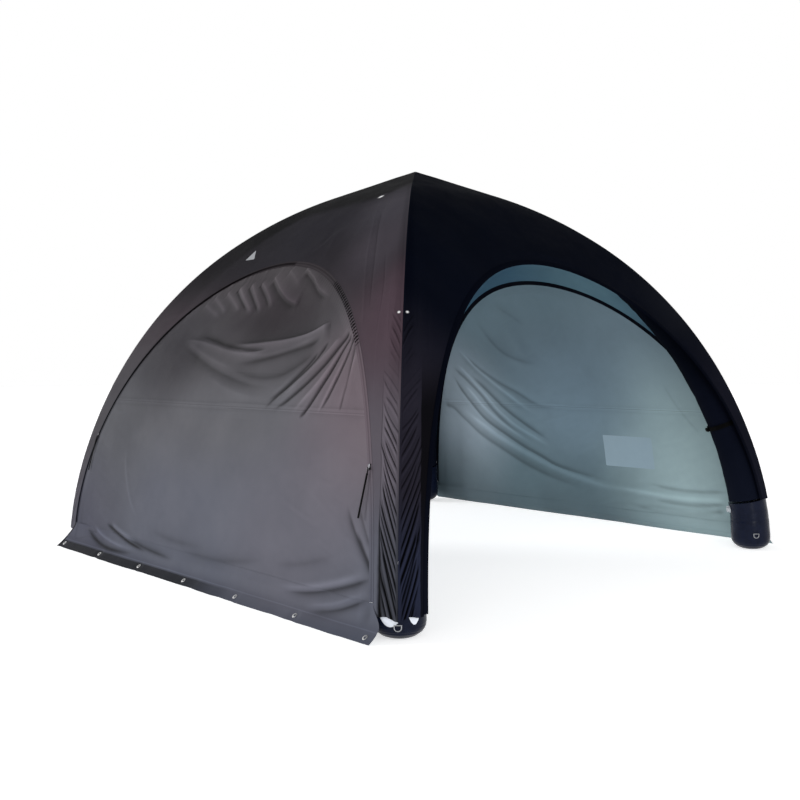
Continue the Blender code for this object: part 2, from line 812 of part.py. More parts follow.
# ------------------------------------------------------------ tie bands
for leg, (degrees, *_) in LEGS.items():
    run = min(BEAM_RUNS, key=lambda q: abs(q - run_at_height(TIE_Z)))
    steps = 16
    rings = []
    cr, cz, tilt, radius = beam_station(run, FOOT_WALL + FIT_GAP)
    a = math.radians(degrees)
    out = Vector((math.cos(a), math.sin(a), 0.0))
    side = Vector((-math.sin(a), math.cos(a), 0.0))
    lean = math.cos(tilt) * out + math.sin(tilt) * Vector((0, 0, 1))
    axis = side.cross(lean).normalized()
    centre = out * cr + Vector((0, 0, cz))
    # the beam tapers, so the band clears its wider end
    r_in = radius + 0.0014
    r_out = r_in + 0.0022
    for k in range(steps):
        b = 2 * math.pi * k / steps
        d = math.cos(b) * lean + math.sin(b) * side
        rings.append(
            [
                centre + d * r_in / math.cos(math.pi / steps) - axis * TIE_W / 2,
                centre + d * r_out / math.cos(math.pi / steps) - axis * TIE_W / 2,
                centre + d * r_out / math.cos(math.pi / steps) + axis * TIE_W / 2,
                centre + d * r_in / math.cos(math.pi / steps) + axis * TIE_W / 2,
            ]
        )
    band = mesh_from("band", *tube_of_rings(rings, close=False))
    # the knot, on the side that faces the middle of the tent
    knot_turn = Matrix((side, lean, axis)).transposed()
    kv, kf = baked(
        block(0, 0, 0, 0.060, 0.022, 0.034, 0.006),
        knot_turn,
        centre - lean * (r_out + 0.0095),
    )
    place(
        "tie_band_" + leg, joined("tie_band_" + leg, [band, mesh_from("knot", kv, kf)]), WEB
    )


# ------------------------------------------------------------ tie-down rings
def dring_mesh():
    """D-shaped wire ring. The bar runs along X through the origin, the bow hangs down."""
    half = DRING_W / 2
    bow_r = half
    drop = DRING_H - bow_r
    path = [(-half, 0.0), (-half * 0.5, 0.0), (0.0, 0.0), (half * 0.5, 0.0), (half, 0.0)]
    path += [(half, -drop)]
    for k in range(1, 8):
        a = math.pi * k / 8
        path.append((half * math.cos(a), -drop - bow_r * math.sin(a)))
    path += [(-half, -drop)]
    rings = []
    count = len(path)
    for i in range(count):
        before, after = Vector(path[i - 1]), Vector(path[(i + 1) % count])
        here = Vector(path[i])
        d1, d2 = (here - before).normalized(), (after - here).normalized()
        mid = (d1 + d2).normalized()
        nrm = Vector((-mid.y, mid.x))
        stretch = 1.0 / max(0.45, math.sqrt((1 + d1.dot(d2)) / 2))
        ring = []
        for k in range(6):
            b = 2 * math.pi * (k + 0.5) / 6
            off = nrm * math.cos(b) * DRING_WIRE * stretch
            ring.append(
                (here.x + off.x, DRING_WIRE * math.sin(b), here.y + off.y)
            )
        rings.append(ring)
    return mesh_from("dring", *tube_of_rings(rings, close=False))


DRING = dring_mesh()
for leg in LEGS:
    origin, turn = ring_site(leg)
    pin = origin + turn @ Vector((0, -0.0085, 0))
    place("tie_ring_" + leg, DRING, STEEL, pin, turn)


# ------------------------------------------------------------ valves
def valve_meshes():
    """Valve housing, hinged cap and push pin. Z points out of the boot, Y towards the hinge."""
    housing_ring = mesh_from(
        "valve ring",
        *turned(
            [
                (0.0048, 0.006),
                (0.0160, 0.006),
                (0.0160, 0.000),
                (0.0310, 0.000),
                (0.0310, 0.003),
                (0.0220, 0.004),
                (0.0220, 0.020),
                (0.0160, 0.020),
                (0.0160, 0.008),
                (0.0048, 0.008),
            ],
            16,
        ),
    )
    lug_a = block(-0.0065, 0.0278, 0.01215, 0.004, 0.0066, 0.0213)
    lug_b = block(0.0065, 0.0278, 0.01215, 0.004, 0.0066, 0.0213)
    pin = rod_along_x(0, 0.0278, 0.0200, 0.0014, 0.015, 10)
    housing = joined("valve housing", [housing_ring, lug_a, lug_b, pin])
    # The cap's zero is on its hinge.
    disc_v, disc_f = turned_solid(
        [(0.0215, 0.0006), (0.0228, 0.0018), (0.0228, 0.0034), (0.0205, 0.0048)],
        16,
    )
    disc = mesh_from("cap disc", [(x, y - 0.0278, z) for x, y, z in disc_v], disc_f)
    arm = block(0, -0.0058, 0.0030, 0.0072, 0.0072, 0.0030)
    eye = ring_along_x(0, 0, 0, 0.0021, 0.0046, 0.0076, 10)
    cap = joined("valve cap", [disc, arm, eye])
    push = mesh_from(
        "valve pin",
        *turned_solid(
            [
                (0.0040, 0.0068),
                (0.0040, 0.0132),
                (0.0100, 0.0136),
                (0.0100, 0.0154),
                (0.0085, 0.0166),
            ],
            12,
        ),
    )
    return housing, cap, push


HOUSING, CAP, PUSH = valve_meshes()
for leg, (degrees, *_) in LEGS.items():
    top = beam_station(run_at_height(FOOT_TOP_Z))
    mid = beam_station(run_at_height(0.340))
    a = math.radians(degrees)
    out = Vector((math.cos(a), math.sin(a), 0.0))
    side = Vector((-math.sin(a), math.cos(a), 0.0))
    # the boot's inner facet between its two upper rings
    def facet(station):
        r0, z0, t0, rad0 = station
        n0 = math.cos(t0) * out + math.sin(t0) * Vector((0, 0, 1))
        return out * r0 + Vector((0, 0, z0)) - n0 * rad0 * math.cos(math.pi / SIDES)

    high, low = facet(top), facet(mid)
    up = (high - low).normalized()
    axis = up.cross(side)
    if axis.dot(out) > 0:
        axis = -axis
    axis.normalize()
    share = 0.5
    seat = low + (high - low) * share + axis * 0.0004
    x_axis = up.cross(axis)
    turn = Matrix((x_axis, up, axis)).transposed()
    place("valve_housing_" + leg, HOUSING, PALE, seat, turn)
    place("valve_pin_" + leg, PUSH, WEB, seat, turn)
    place(
        "valve_cap_" + leg,
        CAP,
        PALE,
        seat + turn @ Vector((0, 0.0278, 0.0200)),
        turn,
    )
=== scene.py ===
import math

import bpy
import numpy as np
from mathutils import Matrix, Vector


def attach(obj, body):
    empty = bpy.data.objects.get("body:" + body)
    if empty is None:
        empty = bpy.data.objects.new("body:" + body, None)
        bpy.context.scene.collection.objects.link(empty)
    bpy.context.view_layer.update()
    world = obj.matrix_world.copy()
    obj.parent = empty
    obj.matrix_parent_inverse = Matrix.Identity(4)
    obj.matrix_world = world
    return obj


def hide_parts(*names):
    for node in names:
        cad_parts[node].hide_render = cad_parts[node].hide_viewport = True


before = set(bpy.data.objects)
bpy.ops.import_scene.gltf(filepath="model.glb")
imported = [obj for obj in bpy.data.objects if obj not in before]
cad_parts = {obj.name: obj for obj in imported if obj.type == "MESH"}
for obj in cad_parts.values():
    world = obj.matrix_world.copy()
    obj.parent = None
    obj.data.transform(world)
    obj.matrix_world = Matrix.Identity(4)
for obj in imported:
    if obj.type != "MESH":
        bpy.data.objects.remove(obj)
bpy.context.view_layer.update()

# ------------------------------------------------------------- dimensions (m)
CROWN_Z = 3.310
RIDGE_SLOPE = 16.0
RIDGE_STRAIGHT_R = 0.719
RIDGE_BASE_R = 3.175
RIDGE_PULL_TOP = 2.000
RIDGE_PULL_BASE = 0.728
BEAM_R_FOOT = 0.170
BEAM_R_TOP = 0.100
SKIN_T = 0.004
SKIN_GAP = 0.008
FOOT_TOP_Z = 0.460
FOOT_PAD_R = 0.085
HUB_REACH = 0.260
SIDES = 16
ARCH_HALF_W = 2.060
ARCH_TOP_Z = 2.440
ZIP_HALF_W = 0.018
WALL_LOW_Z = 0.170
HEM_TOP_Z = 0.215
HEM_KNEE_Z = 0.092
HEM_LOW_Z = 0.004
HEM_KICK = 0.110
HEM_HALF_W = 2.170
EYELET_PITCH = 0.700
EYELET_COUNT = 7
EYELET_SHARE = 0.70
EYELET_R_OUT = 0.019
EYELET_R_IN = 0.0095
BOOT_BEND_Z = 0.300
CLOTH_T = 0.0016  # cloth as it shows
CROWN_PEAK = 0.048  # how far the cloth peaks over the hub
CROWN_PEAK_R = 1.50

LEGS = {
    "front": (-45.0, -45.0, 0.104, 0.150),
    "right": (45.0, -45.0, 0.150, 0.450),
    "back": (135.0, 135.0, 0.104, 0.450),
    "left": (225.0, 135.0, 0.150, 0.150),
}
FACES = {
    "front": (0.0, "front", "left"),
    "right": (90.0, "right", "front"),
    "back": (180.0, "back", "right"),
    "left": (270.0, "left", "back"),
}
ROOT2 = math.sqrt(2.0)


# ------------------------------------------------------------------- the skin
def ridge_curve(steps=400):
    a = math.radians(RIDGE_SLOPE)
    down = np.array([math.cos(a), -math.sin(a)])
    crown = np.array([0.0, CROWN_Z])
    p0 = crown + down * (RIDGE_STRAIGHT_R / math.cos(a))
    p1 = p0 + down * RIDGE_PULL_TOP
    p2 = np.array([RIDGE_BASE_R, RIDGE_PULL_BASE])
    p3 = np.array([RIDGE_BASE_R, 0.0])
    t = np.linspace(0, 1, steps)[:, None]
    bend = (1 - t) ** 3 * p0 + 3 * (1 - t) ** 2 * t * p1 + 3 * (1 - t) * t**2 * p2 + t**3 * p3
    run = np.linspace(0, 1, 60)[:-1, None]
    return np.vstack([crown + (p0 - crown) * run, bend])


CURVE = ridge_curve()
RUN = np.concatenate([[0.0], np.cumsum(np.linalg.norm(np.diff(CURVE, axis=0), axis=1))])
TANGENT = np.gradient(CURVE, RUN, axis=0)
TANGENT /= np.linalg.norm(TANGENT, axis=1)[:, None]
LENGTH = RUN[-1]


def run_at(z):
    return np.interp(-np.asarray(z, float), -CURVE[:, 1], RUN)


def beam_radius(run):
    u = np.clip((run - HUB_REACH) / (LENGTH - HUB_REACH), 0, 1)
    return BEAM_R_TOP + (BEAM_R_FOOT - BEAM_R_TOP) * u


def ridge_at(run):
    r, z = np.interp(run, RUN, CURVE[:, 0]), np.interp(run, RUN, CURVE[:, 1])
    tr, tz = np.interp(run, RUN, TANGENT[:, 0]), np.interp(run, RUN, TANGENT[:, 1])
    n = np.hypot(tr, tz)
    return r, z, tr / n, tz / n


def slice_shape(z):
    run = run_at(z)
    r, _, _, tz = ridge_at(run)
    steep = np.maximum(-tz, 0.05)
    across = beam_radius(run)
    along = np.minimum(across / steep, 0.8 * r)
    corner = (np.hypot(along, across) - along) / (ROOT2 - 1)
    corner = np.maximum(np.minimum(corner, 0.35 * r), 1e-5)
    half = (r + (ROOT2 - 1) * corner) / ROOT2
    return half - corner, corner


def skin(sigma, z):
    """Points of the front face's skin; sigma runs along the outline, 0 at its middle."""
    sigma, z = np.broadcast_arrays(np.asarray(sigma, float), np.asarray(z, float))
    flat, corner = slice_shape(z)
    over = np.clip((np.abs(sigma) - flat) / corner, 0, 1.1)
    x = np.where(np.abs(sigma) <= flat, sigma, np.sign(sigma) * (flat + corner * np.sin(over)))
    return np.stack([x, -(flat + corner * np.cos(over)), z], -1)


def skin_normal(sigma, z, e=0.004):
    sigma, z = np.broadcast_arrays(np.asarray(sigma, float), np.asarray(z, float))
    zc = np.clip(z, 2 * e, CROWN_Z - 2.5 * e)
    ds = skin(sigma + e, zc) - skin(sigma - e, zc)
    dz = skin(sigma, zc + e) - skin(sigma, zc - e)
    n = np.cross(ds, dz)
    return n / np.maximum(np.linalg.norm(n, axis=-1, keepdims=True), 1e-9)


def turned(points, degrees):
    a = math.radians(degrees)
    c, s = math.cos(a), math.sin(a)
    p = np.asarray(points, float)
    return np.stack([p[..., 0] * c - p[..., 1] * s, p[..., 0] * s + p[..., 1] * c, p[..., 2]], -1)


# --------------------------------------------------------------- cloth relief
def smooth(t):
    t = np.clip(t, 0, 1)
    return t * t * (3 - 2 * t)


def noise(x, y, seed):
    grid = np.random.default_rng(seed).random((64, 64)) * 2 - 1
    xi, yi = np.floor(x).astype(int), np.floor(y).astype(int)
    u, v = smooth(x - xi), smooth(y - yi)
    a, b = xi % 64, (xi + 1) % 64
    c, d = yi % 64, (yi + 1) % 64
    return (grid[a, c] * (1 - u) + grid[b, c] * u) * (1 - v) + (grid[a, d] * (1 - u) + grid[b, d] * u) * v


def fbm(x, y, seed, octaves=3):
    total, size = 0.0, 1.0
    for k in range(octaves):
        total = total + noise(x * 2**k + 7.3 * k, y * 2**k + 3.1 * k, seed + k) * size
        size *= 0.5
    return total


def ridged(x, y, seed, octaves=2):
    return 1 - np.abs(fbm(x, y, seed, octaves)) * 1.6


def spline(points, count=40):
    p = np.asarray(points, float)
    if len(p) < 3:
        t = np.linspace(0, 1, count)[:, None]
        return p[0] * (1 - t) + p[-1] * t
    p = np.vstack([2 * p[0] - p[1], p, 2 * p[-1] - p[-2]])
    spans, out = len(p) - 3, []
    for q in np.linspace(0, spans - 1e-6, count):
        i = int(q)
        t = q - i
        a, b, c, d = p[i : i + 4]
        out.append(0.5 * (2 * b + (c - a) * t + (2 * a - 5 * b + 4 * c - d) * t**2 + (3 * b - a - 3 * c + d) * t**3))
    return np.array(out)


def fold_field(s, z, points):
    """Signed distance from a fold's line, and the share of its length."""
    line = spline(points)
    best, share, side = np.full(s.shape, 9.0), np.zeros(s.shape), np.ones(s.shape)
    n = len(line) - 1
    for k in range(n):
        (ax, az), (bx, bz) = line[k], line[k + 1]
        dx, dz = bx - ax, bz - az
        t = np.clip(((s - ax) * dx + (z - az) * dz) / (dx * dx + dz * dz + 1e-12), 0, 1)
        d = np.hypot(s - ax - dx * t, z - az - dz * t)
        near = d < best
        best = np.where(near, d, best)
        share = np.where(near, (k + t) / n, share)
        side = np.where(near, np.sign(dx * (z - az) - dz * (s - ax)), side)
    return best * side, share


def folds(s, z, items):
    """Sum of creases and crests. Each is (points, depth, width, lean, taper at start, taper at end)."""
    total = np.zeros(s.shape)
    for points, depth, width, lean, t0, t1 in items:
        p = np.asarray(points, float)
        near = (
            (s > p[:, 0].min() - 6 * width) & (s < p[:, 0].max() + 6 * width)
            & (z > p[:, 1].min() - 6 * width) & (z < p[:, 1].max() + 6 * width)
        )
        if not near.any():
            continue
        d, share = fold_field(s[near], z[near], points)
        w = width * np.where(d > 0, 1 + lean, 1 - lean)
        core = np.exp(-(np.sqrt(d * d + (0.25 * w) ** 2) - 0.25 * w) / w)
        ends = smooth(share / max(t0, 1e-3)) * smooth((1 - share) / max(t1, 1e-3))
        total[near] += depth * core * ends
    return total


def drawn(s, z, items):
    """Folds that the cloth's own weight draws in it: the relief, and painted light beside the plain cloth.
    Each is (points, painted tone: a painted highlight above 0 and painted shade below 0, height, width left of its run,
    width right of it, taper at start, taper at end)."""
    relief, tone = np.zeros(s.shape), np.ones(s.shape)
    for points, painted_tone, height, left, right, t0, t1 in items:
        p = np.asarray(points, float)
        reach = 3.2 * max(left, right, 0.014)
        near = (
            (s > p[:, 0].min() - reach) & (s < p[:, 0].max() + reach)
            & (z > p[:, 1].min() - reach) & (z < p[:, 1].max() + reach)
        )
        if not near.any():
            continue
        d, share = fold_field(s[near], z[near], points)
        wide = np.where(d > 0, left, right)
        ends = smooth(share / t0) * smooth((1 - share) / t1)
        tone[near] *= 1 + painted_tone * np.exp(-((np.abs(d) / wide) ** 1.5)) * ends
        wide = np.maximum(wide, 0.014)
        relief[near] += height * np.exp(-(np.sqrt(d * d + (0.3 * wide) ** 2) - 0.3 * wide) / wide) * ends
    return relief, tone


# painted light: each fold's second value is its painted tone, a painted highlight above 0 and painted shade below 0
FRONT_DRAWN = [
    # the crest under the slack upper part, with painted shade above it
    ([(-0.163, 1.801), (0.102, 1.793), (0.349, 1.804), (0.546, 1.819), (0.698, 1.841), (0.824, 1.872), (0.925, 1.916), (0.987, 1.953)], 0.95, 0.022, 0.008, 0.065, 0.16, 0.12),
    ([(-0.184, 1.827), (0.083, 1.818), (0.331, 1.829), (0.528, 1.845), (0.68, 1.868), (0.804, 1.9), (0.905, 1.944)], -0.26, -0.006, 0.15, 0.008, 0.2, 0.2),
    # the crescents below it
    ([(-0.732, 1.882), (-0.489, 1.846), (-0.248, 1.798), (0.012, 1.763), (0.21, 1.746), (0.382, 1.756)], -0.46, -0.016, 0.04, 0.008, 0.25, 0.22),
    ([(-0.893, 1.84), (-0.641, 1.826), (-0.404, 1.792), (-0.171, 1.75), (0.079, 1.722), (0.294, 1.729), (0.421, 1.75)], 0.34, 0.012, 0.007, 0.05, 0.15, 0.3),
    ([(-0.012, 1.635), (0.235, 1.656), (0.49, 1.699), (0.728, 1.749), (0.879, 1.789), (0.973, 1.845)], -0.42, -0.01, 0.026, 0.034, 0.3, 0.2),
    ([(0.048, 1.712), (0.347, 1.704), (0.599, 1.742), (0.816, 1.802), (0.938, 1.86)], 0.16, 0.008, 0.024, 0.03, 0.3, 0.25),
    ([(-0.876, 1.794), (-0.576, 1.692), (-0.26, 1.597), (0.103, 1.516), (0.38, 1.479), (0.626, 1.474)], -0.30, -0.01, 0.03, 0.06, 0.2, 0.4),
    ([(-0.864, 1.832), (-0.519, 1.727), (-0.17, 1.639), (0.126, 1.598)], 0.16, 0.008, 0.03, 0.034, 0.2, 0.4),
    ([(-0.138, 1.65), (0.261, 1.558), (0.61, 1.561), (0.848, 1.659), (0.995, 1.772)], -0.32, -0.009, 0.05, 0.034, 0.3, 0.25),
    ([(-0.479, 1.617), (-0.061, 1.472), (0.354, 1.399), (0.662, 1.407)], 0.1, 0.006, 0.04, 0.05, 0.3, 0.4),
    # the fan that runs down and left from the right shoulder of the zip
    ([(1.067, 1.817), (1.004, 1.696), (0.893, 1.582), (0.731, 1.466), (0.565, 1.366)], -0.46, -0.013, 0.02, 0.009, 0.12, 0.3),
    ([(1.007, 1.753), (0.917, 1.64), (0.797, 1.524), (0.662, 1.407), (0.575, 1.312)], -0.4, -0.011, 0.02, 0.009, 0.15, 0.3),
    ([(1.263, 1.88), (1.209, 1.779), (1.12, 1.649), (0.986, 1.517), (0.83, 1.402), (0.679, 1.308)], -0.6, -0.016, 0.02, 0.009, 0.08, 0.22),
    ([(1.3, 1.857), (1.26, 1.732), (1.217, 1.603), (1.145, 1.463), (1.073, 1.343), (1.016, 1.268)], -0.68, -0.018, 0.016, 0.009, 0.08, 0.18),
    ([(1.339, 1.85), (1.339, 1.731), (1.319, 1.585), (1.278, 1.44), (1.221, 1.303)], -0.58, -0.014, 0.014, 0.008, 0.08, 0.25),
    ([(1.365, 1.841), (1.403, 1.694), (1.431, 1.532), (1.437, 1.39), (1.447, 1.32)], -0.3, -0.007, 0.014, 0.01, 0.12, 0.3),
    ([(1.191, 1.844), (1.119, 1.733), (1.009, 1.621), (0.872, 1.506), (0.733, 1.399)], 0.26, 0.01, 0.026, 0.022, 0.12, 0.3),
    ([(1.295, 1.851), (1.236, 1.695), (1.151, 1.547), (1.038, 1.416), (0.912, 1.301)], 0.3, 0.01, 0.024, 0.02, 0.12, 0.3),
    ([(1.344, 1.832), (1.326, 1.676), (1.291, 1.531), (1.244, 1.385), (1.213, 1.294)], 0.26, 0.009, 0.02, 0.018, 0.12, 0.3),
    ([(1.423, 1.748), (1.431, 1.604), (1.431, 1.461), (1.425, 1.319)], 0.14, 0.005, 0.022, 0.02, 0.2, 0.3),
    # folds that run out along the foot, lower left
    ([(-1.825, 0.183), (-1.635, 0.116), (-1.393, 0.083), (-1.087, 0.083), (-0.835, 0.105)], -0.80, -0.012, 0.018, 0.016, 0.15, 0.4),
    ([(-1.706, 0.227), (-1.454, 0.161), (-1.165, 0.128), (-0.872, 0.127)], 0.30, 0.008, 0.02, 0.02, 0.2, 0.4),
    ([(-1.455, 0.275), (-1.212, 0.206), (-0.947, 0.157), (-0.683, 0.133)], -0.80, -0.012, 0.02, 0.014, 0.15, 0.35),
    ([(-1.363, 0.286), (-1.101, 0.22), (-0.841, 0.178)], 0.28, 0.008, 0.02, 0.02, 0.2, 0.4),
    ([(-1.099, 0.206), (-0.805, 0.166), (-0.494, 0.143), (-0.233, 0.132)], -0.52, -0.008, 0.03, 0.018, 0.25, 0.4),
    ([(-0.243, 0.22), (0.185, 0.208), (0.572, 0.243), (1.021, 0.328)], -0.22, -0.006, 0.06, 0.04, 0.3, 0.4),
    ([(-0.721, 0.311), (-0.25, 0.273), (0.288, 0.292)], -0.16, -0.004, 0.05, 0.04, 0.3, 0.5),
    # and lower right
    ([(1.041, 0.164), (1.411, 0.205), (1.745, 0.291), (2.012, 0.388)], 0.20, 0.006, 0.026, 0.03, 0.3, 0.3),
    ([(1.14, 0.132), (1.502, 0.183), (1.829, 0.274), (2.055, 0.36)], -0.46, -0.006, 0.014, 0.034, 0.3, 0.2),
    ([(1.42, 0.091), (1.718, 0.152), (2.027, 0.274)], 0.12, 0.005, 0.022, 0.024, 0.3, 0.3),
    ([(1.465, 0.059), (1.762, 0.118), (2.051, 0.236)], -0.46, -0.005, 0.014, 0.03, 0.3, 0.2),
    ([(1.027, 0.287), (1.392, 0.352), (1.721, 0.454)], -0.12, -0.004, 0.04, 0.05, 0.3, 0.4),
    # down the right edge
    ([(1.711, 0.775), (1.819, 0.62), (1.971, 0.452), (2.057, 0.341)], -0.42, -0.006, 0.012, 0.026, 0.3, 0.25),
    ([(1.838, 0.623), (1.947, 0.498), (2.043, 0.388)], -0.42, -0.005, 0.012, 0.024, 0.3, 0.3),
    ([(1.819, 0.785), (1.92, 0.633), (2.012, 0.507)], -0.2, -0.004, 0.012, 0.018, 0.3, 0.3),
    # gathers that hang from the upper left of the zip
    ([(-0.848, 2.145), (-0.652, 2.072), (-0.52, 2.03)], 0.4, 0.006, 0.03, 0.026, 0.02, 0.4),
    ([(-0.753, 2.202), (-0.584, 2.122), (-0.479, 2.065)], 0.55, 0.007, 0.03, 0.026, 0.02, 0.35),
    ([(-0.591, 2.236), (-0.414, 2.148), (-0.299, 2.08)], 0.65, 0.009, 0.032, 0.026, 0.02, 0.3),
    ([(-0.443, 2.269), (-0.286, 2.165), (-0.12, 2.064)], 0.95, 0.012, 0.036, 0.03, 0.02, 0.2),
    ([(-0.302, 2.293), (-0.146, 2.18), (-0.002, 2.068)], 0.85, 0.011, 0.034, 0.026, 0.02, 0.25),
    ([(-0.165, 2.303), (-0.002, 2.204), (0.12, 2.106)], 0.75, 0.011, 0.034, 0.024, 0.02, 0.25),
    ([(-0.034, 2.339), (0.153, 2.23), (0.315, 2.152), (0.452, 2.116)], 0.8, 0.013, 0.055, 0.01, 0.02, 0.12),
    ([(0.145, 2.38), (0.285, 2.309), (0.422, 2.231)], 0.45, 0.008, 0.04, 0.03, 0.02, 0.4),
    ([(-0.486, 2.248), (-0.326, 2.149), (-0.193, 2.067)], -0.4, -0.006, 0.012, 0.014, 0.05, 0.35),
    ([(-0.337, 2.267), (-0.179, 2.16), (-0.049, 2.061)], -0.42, -0.006, 0.012, 0.014, 0.05, 0.3),
    ([(-0.196, 2.282), (-0.042, 2.184), (0.074, 2.091)], -0.42, -0.006, 0.012, 0.014, 0.05, 0.3),
    ([(-0.05, 2.309), (0.129, 2.199), (0.286, 2.126), (0.442, 2.087)], -0.42, -0.008, 0.01, 0.03, 0.08, 0.25),
    # the slack edge right of the top of the zip
    ([(0.351, 2.383), (0.521, 2.302), (0.668, 2.208), (0.86, 2.136)], 0.5, 0.012, 0.03, 0.01, 0.05, 0.2),
    ([(0.364, 2.347), (0.515, 2.272), (0.661, 2.18), (0.824, 2.118)], -0.38, -0.01, 0.01, 0.024, 0.1, 0.25),
]

# painted light: each fold's second value is its painted tone, a painted highlight above 0 and painted shade below 0
BACK_DRAWN = [
    # folds that hang from the upper corner by the back leg and run out along the foot; x is turned about
    ([(1.266, 1.807), (1.061, 1.61), (0.814, 1.449), (0.557, 1.325), (0.306, 1.197), (-0.002, 1.164)], -0.16, -0.01, 0.075, 0.02, 0.2, 0.35),
    ([(1.281, 1.823), (1.106, 1.61), (0.904, 1.44), (0.73, 1.313), (0.517, 1.174), (0.334, 1.085)], 0.2, 0.01, 0.02, 0.04, 0.15, 0.4),
    ([(1.207, 1.527), (1.018, 1.365), (0.814, 1.173), (0.615, 1.033), (0.413, 0.913), (0.212, 0.804)], -0.3, -0.012, 0.022, 0.034, 0.2, 0.3),
    ([(1.382, 1.66), (1.226, 1.478), (1.063, 1.298), (0.896, 1.112), (0.658, 0.942), (0.391, 0.818), (0.206, 0.725)], 0.16, 0.008, 0.022, 0.026, 0.15, 0.3),
    ([(1.451, 1.61), (1.295, 1.477), (1.125, 1.313), (0.96, 1.118), (0.782, 0.961), (0.591, 0.855)], -0.2, -0.008, 0.022, 0.024, 0.15, 0.35),
    ([(1.361, 1.426), (1.228, 1.277), (1.108, 1.147), (0.924, 1.004), (0.675, 0.859), (0.445, 0.75)], 0.22, 0.008, 0.02, 0.028, 0.2, 0.35),
    ([(1.489, 1.517), (1.391, 1.341), (1.259, 1.176), (1.099, 1.013), (0.866, 0.874), (0.614, 0.74), (0.381, 0.641), (0.172, 0.552), (-0.151, 0.491), (-0.604, 0.423)], -0.28, -0.012, 0.018, 0.034, 0.12, 0.3),
    ([(1.5, 1.151), (1.223, 0.974), (0.984, 0.834), (0.705, 0.701), (0.39, 0.576), (0.043, 0.475), (-0.329, 0.398), (-0.598, 0.355)], 0.26, 0.014, 0.045, 0.04, 0.2, 0.25),
    ([(1.74, 1.152), (1.599, 1.139), (1.444, 1.016), (1.208, 0.839), (0.944, 0.703), (0.643, 0.557), (0.345, 0.45), (0.053, 0.38), (-0.229, 0.312)], -0.18, -0.01, 0.03, 0.06, 0.08, 0.35),
    ([(0.852, 2.116), (0.722, 1.879), (0.576, 1.737), (0.36, 1.658), (0.169, 1.634)], -0.14, -0.007, 0.03, 0.05, 0.3, 0.35),
    ([(0.48, 2.238), (0.302, 2.127), (0.169, 2.004)], -0.1, -0.005, 0.04, 0.05, 0.3, 0.4),
    ([(-0.288, 0.396), (-0.864, 0.36), (-1.31, 0.341), (-1.789, 0.36)], 0.12, 0.008, 0.03, 0.03, 0.3, 0.1),
    ([(-0.668, 0.227), (-1.037, 0.207), (-1.474, 0.228), (-1.784, 0.263)], -0.12, -0.008, 0.026, 0.03, 0.3, 0.1),
    ([(-0.85, 0.007), (-1.298, 0.039), (-1.779, 0.076)], -0.1, -0.008, 0.024, 0.026, 0.3, 0.1),
]

FRONT_FOLDS = [
    # a soft line pressed across the middle left
    ([(-1.30, 0.95), (-1.20, 0.72), (-1.05, 0.50), (-0.90, 0.36)], 0.0025, 0.018, 0.0, 0.25, 0.4),
]

BACK_FOLDS = [
    ([(-0.85, 0.21), (-1.21, 0.21), (-1.72, 0.25)], 0.010, 0.022, 0.0, 0.25, 0.2),
    ([(-1.00, 0.30), (-1.43, 0.29), (-1.80, 0.33)], -0.010, 0.022, 0.0, 0.25, 0.2),
    ([(-0.90, 0.46), (-1.35, 0.42), (-1.84, 0.45)], -0.008, 0.026, 0.0, 0.3, 0.2),
    ([(-1.25, 1.50), (-1.40, 1.20), (-1.62, 0.92)], -0.005, 0.035, 0.0, 0.3, 0.3),
]


def zip_depth(s, z):
    """Distance inside the arch, roughly, and the angle round it."""
    rho = np.hypot(s / ARCH_HALF_W, z / ARCH_TOP_Z)
    angle = np.arctan2(z / ARCH_TOP_Z, s / ARCH_HALF_W)
    size = np.hypot(ARCH_HALF_W * np.cos(angle), ARCH_TOP_Z * np.sin(angle))
    return (1 - rho) * size, angle


def wall_relief(face, s, z):
    inside, angle = zip_depth(s, z)
    edge = smooth(inside / 0.10)
    seed = 11 if face == "front" else 41
    total = fbm(s * 1.1 + 3, z * 1.3 + 5, seed, 2) * 0.012 * edge
    total += fbm(s * 3.2 + z * 1.6, z * 3.0 - s * 1.2, seed + 3, 3) * 0.0014 * edge
    ripples = ridged(s * 2.2 - z * 1.0, z * 7.0 + s * 2.4, seed + 7, 2)
    total += np.clip(ripples, 0.2, 1) * 0.0011 * edge * smooth((noise(s * 1.3, z * 1.3, seed + 9) + 0.4) / 0.8)
    if face == "front":
        # slack cloth under the top of the zip, drawn back
        total -= 0.050 * np.exp(-(((s - 0.32) / 0.80) ** 2 + ((z - 2.03) / 0.20) ** 2)) * edge
        soft = folds(s, z, FRONT_FOLDS) * smooth(inside / 0.05)
        total += soft
        made, tone = drawn(s, z, FRONT_DRAWN)
        # painted highlight on the pressed line's crest and painted shade in its hollow
        tone = tone * (1 + np.clip(soft / 0.012, -1, 1) * 0.42)
        total += made * smooth(inside / 0.03)
        # small gathers along the upper left of the zip, with a painted highlight on them
        band = smooth((angle - 1.45) / 0.12) * smooth((2.45 - angle) / 0.35)
        run = angle * 2.25
        gather = ridged(run * 7.0, inside * 2.2, 71, 2) ** 2 * np.exp(-np.maximum(inside - 0.01, 0) / 0.06)
        total += 0.004 * gather * band * smooth(inside / 0.02)
        tone = tone * (1 + 0.35 * gather * band)
        # fine puckers along the stitching at the right shoulder
        band = smooth((angle - 0.78) / 0.06) * smooth((1.32 - angle) / 0.06)
        pucker = 0.5 + 0.5 * np.sin(run * 2 * math.pi / 0.036)
        total += 0.0035 * pucker * band * np.exp(-inside / 0.040)
    else:
        made, tone = drawn(s, z, BACK_DRAWN)
        total += (folds(s, z, BACK_FOLDS) + made) * smooth(inside / 0.05)
    # the overlapped seam between the wall's two widths
    seam = (1.325 if face == "front" else 1.19) + 0.006 * np.sin(s * 1.7)
    total += 0.0016 * smooth((0.020 - np.abs(z - seam)) / 0.003)
    return total, tone


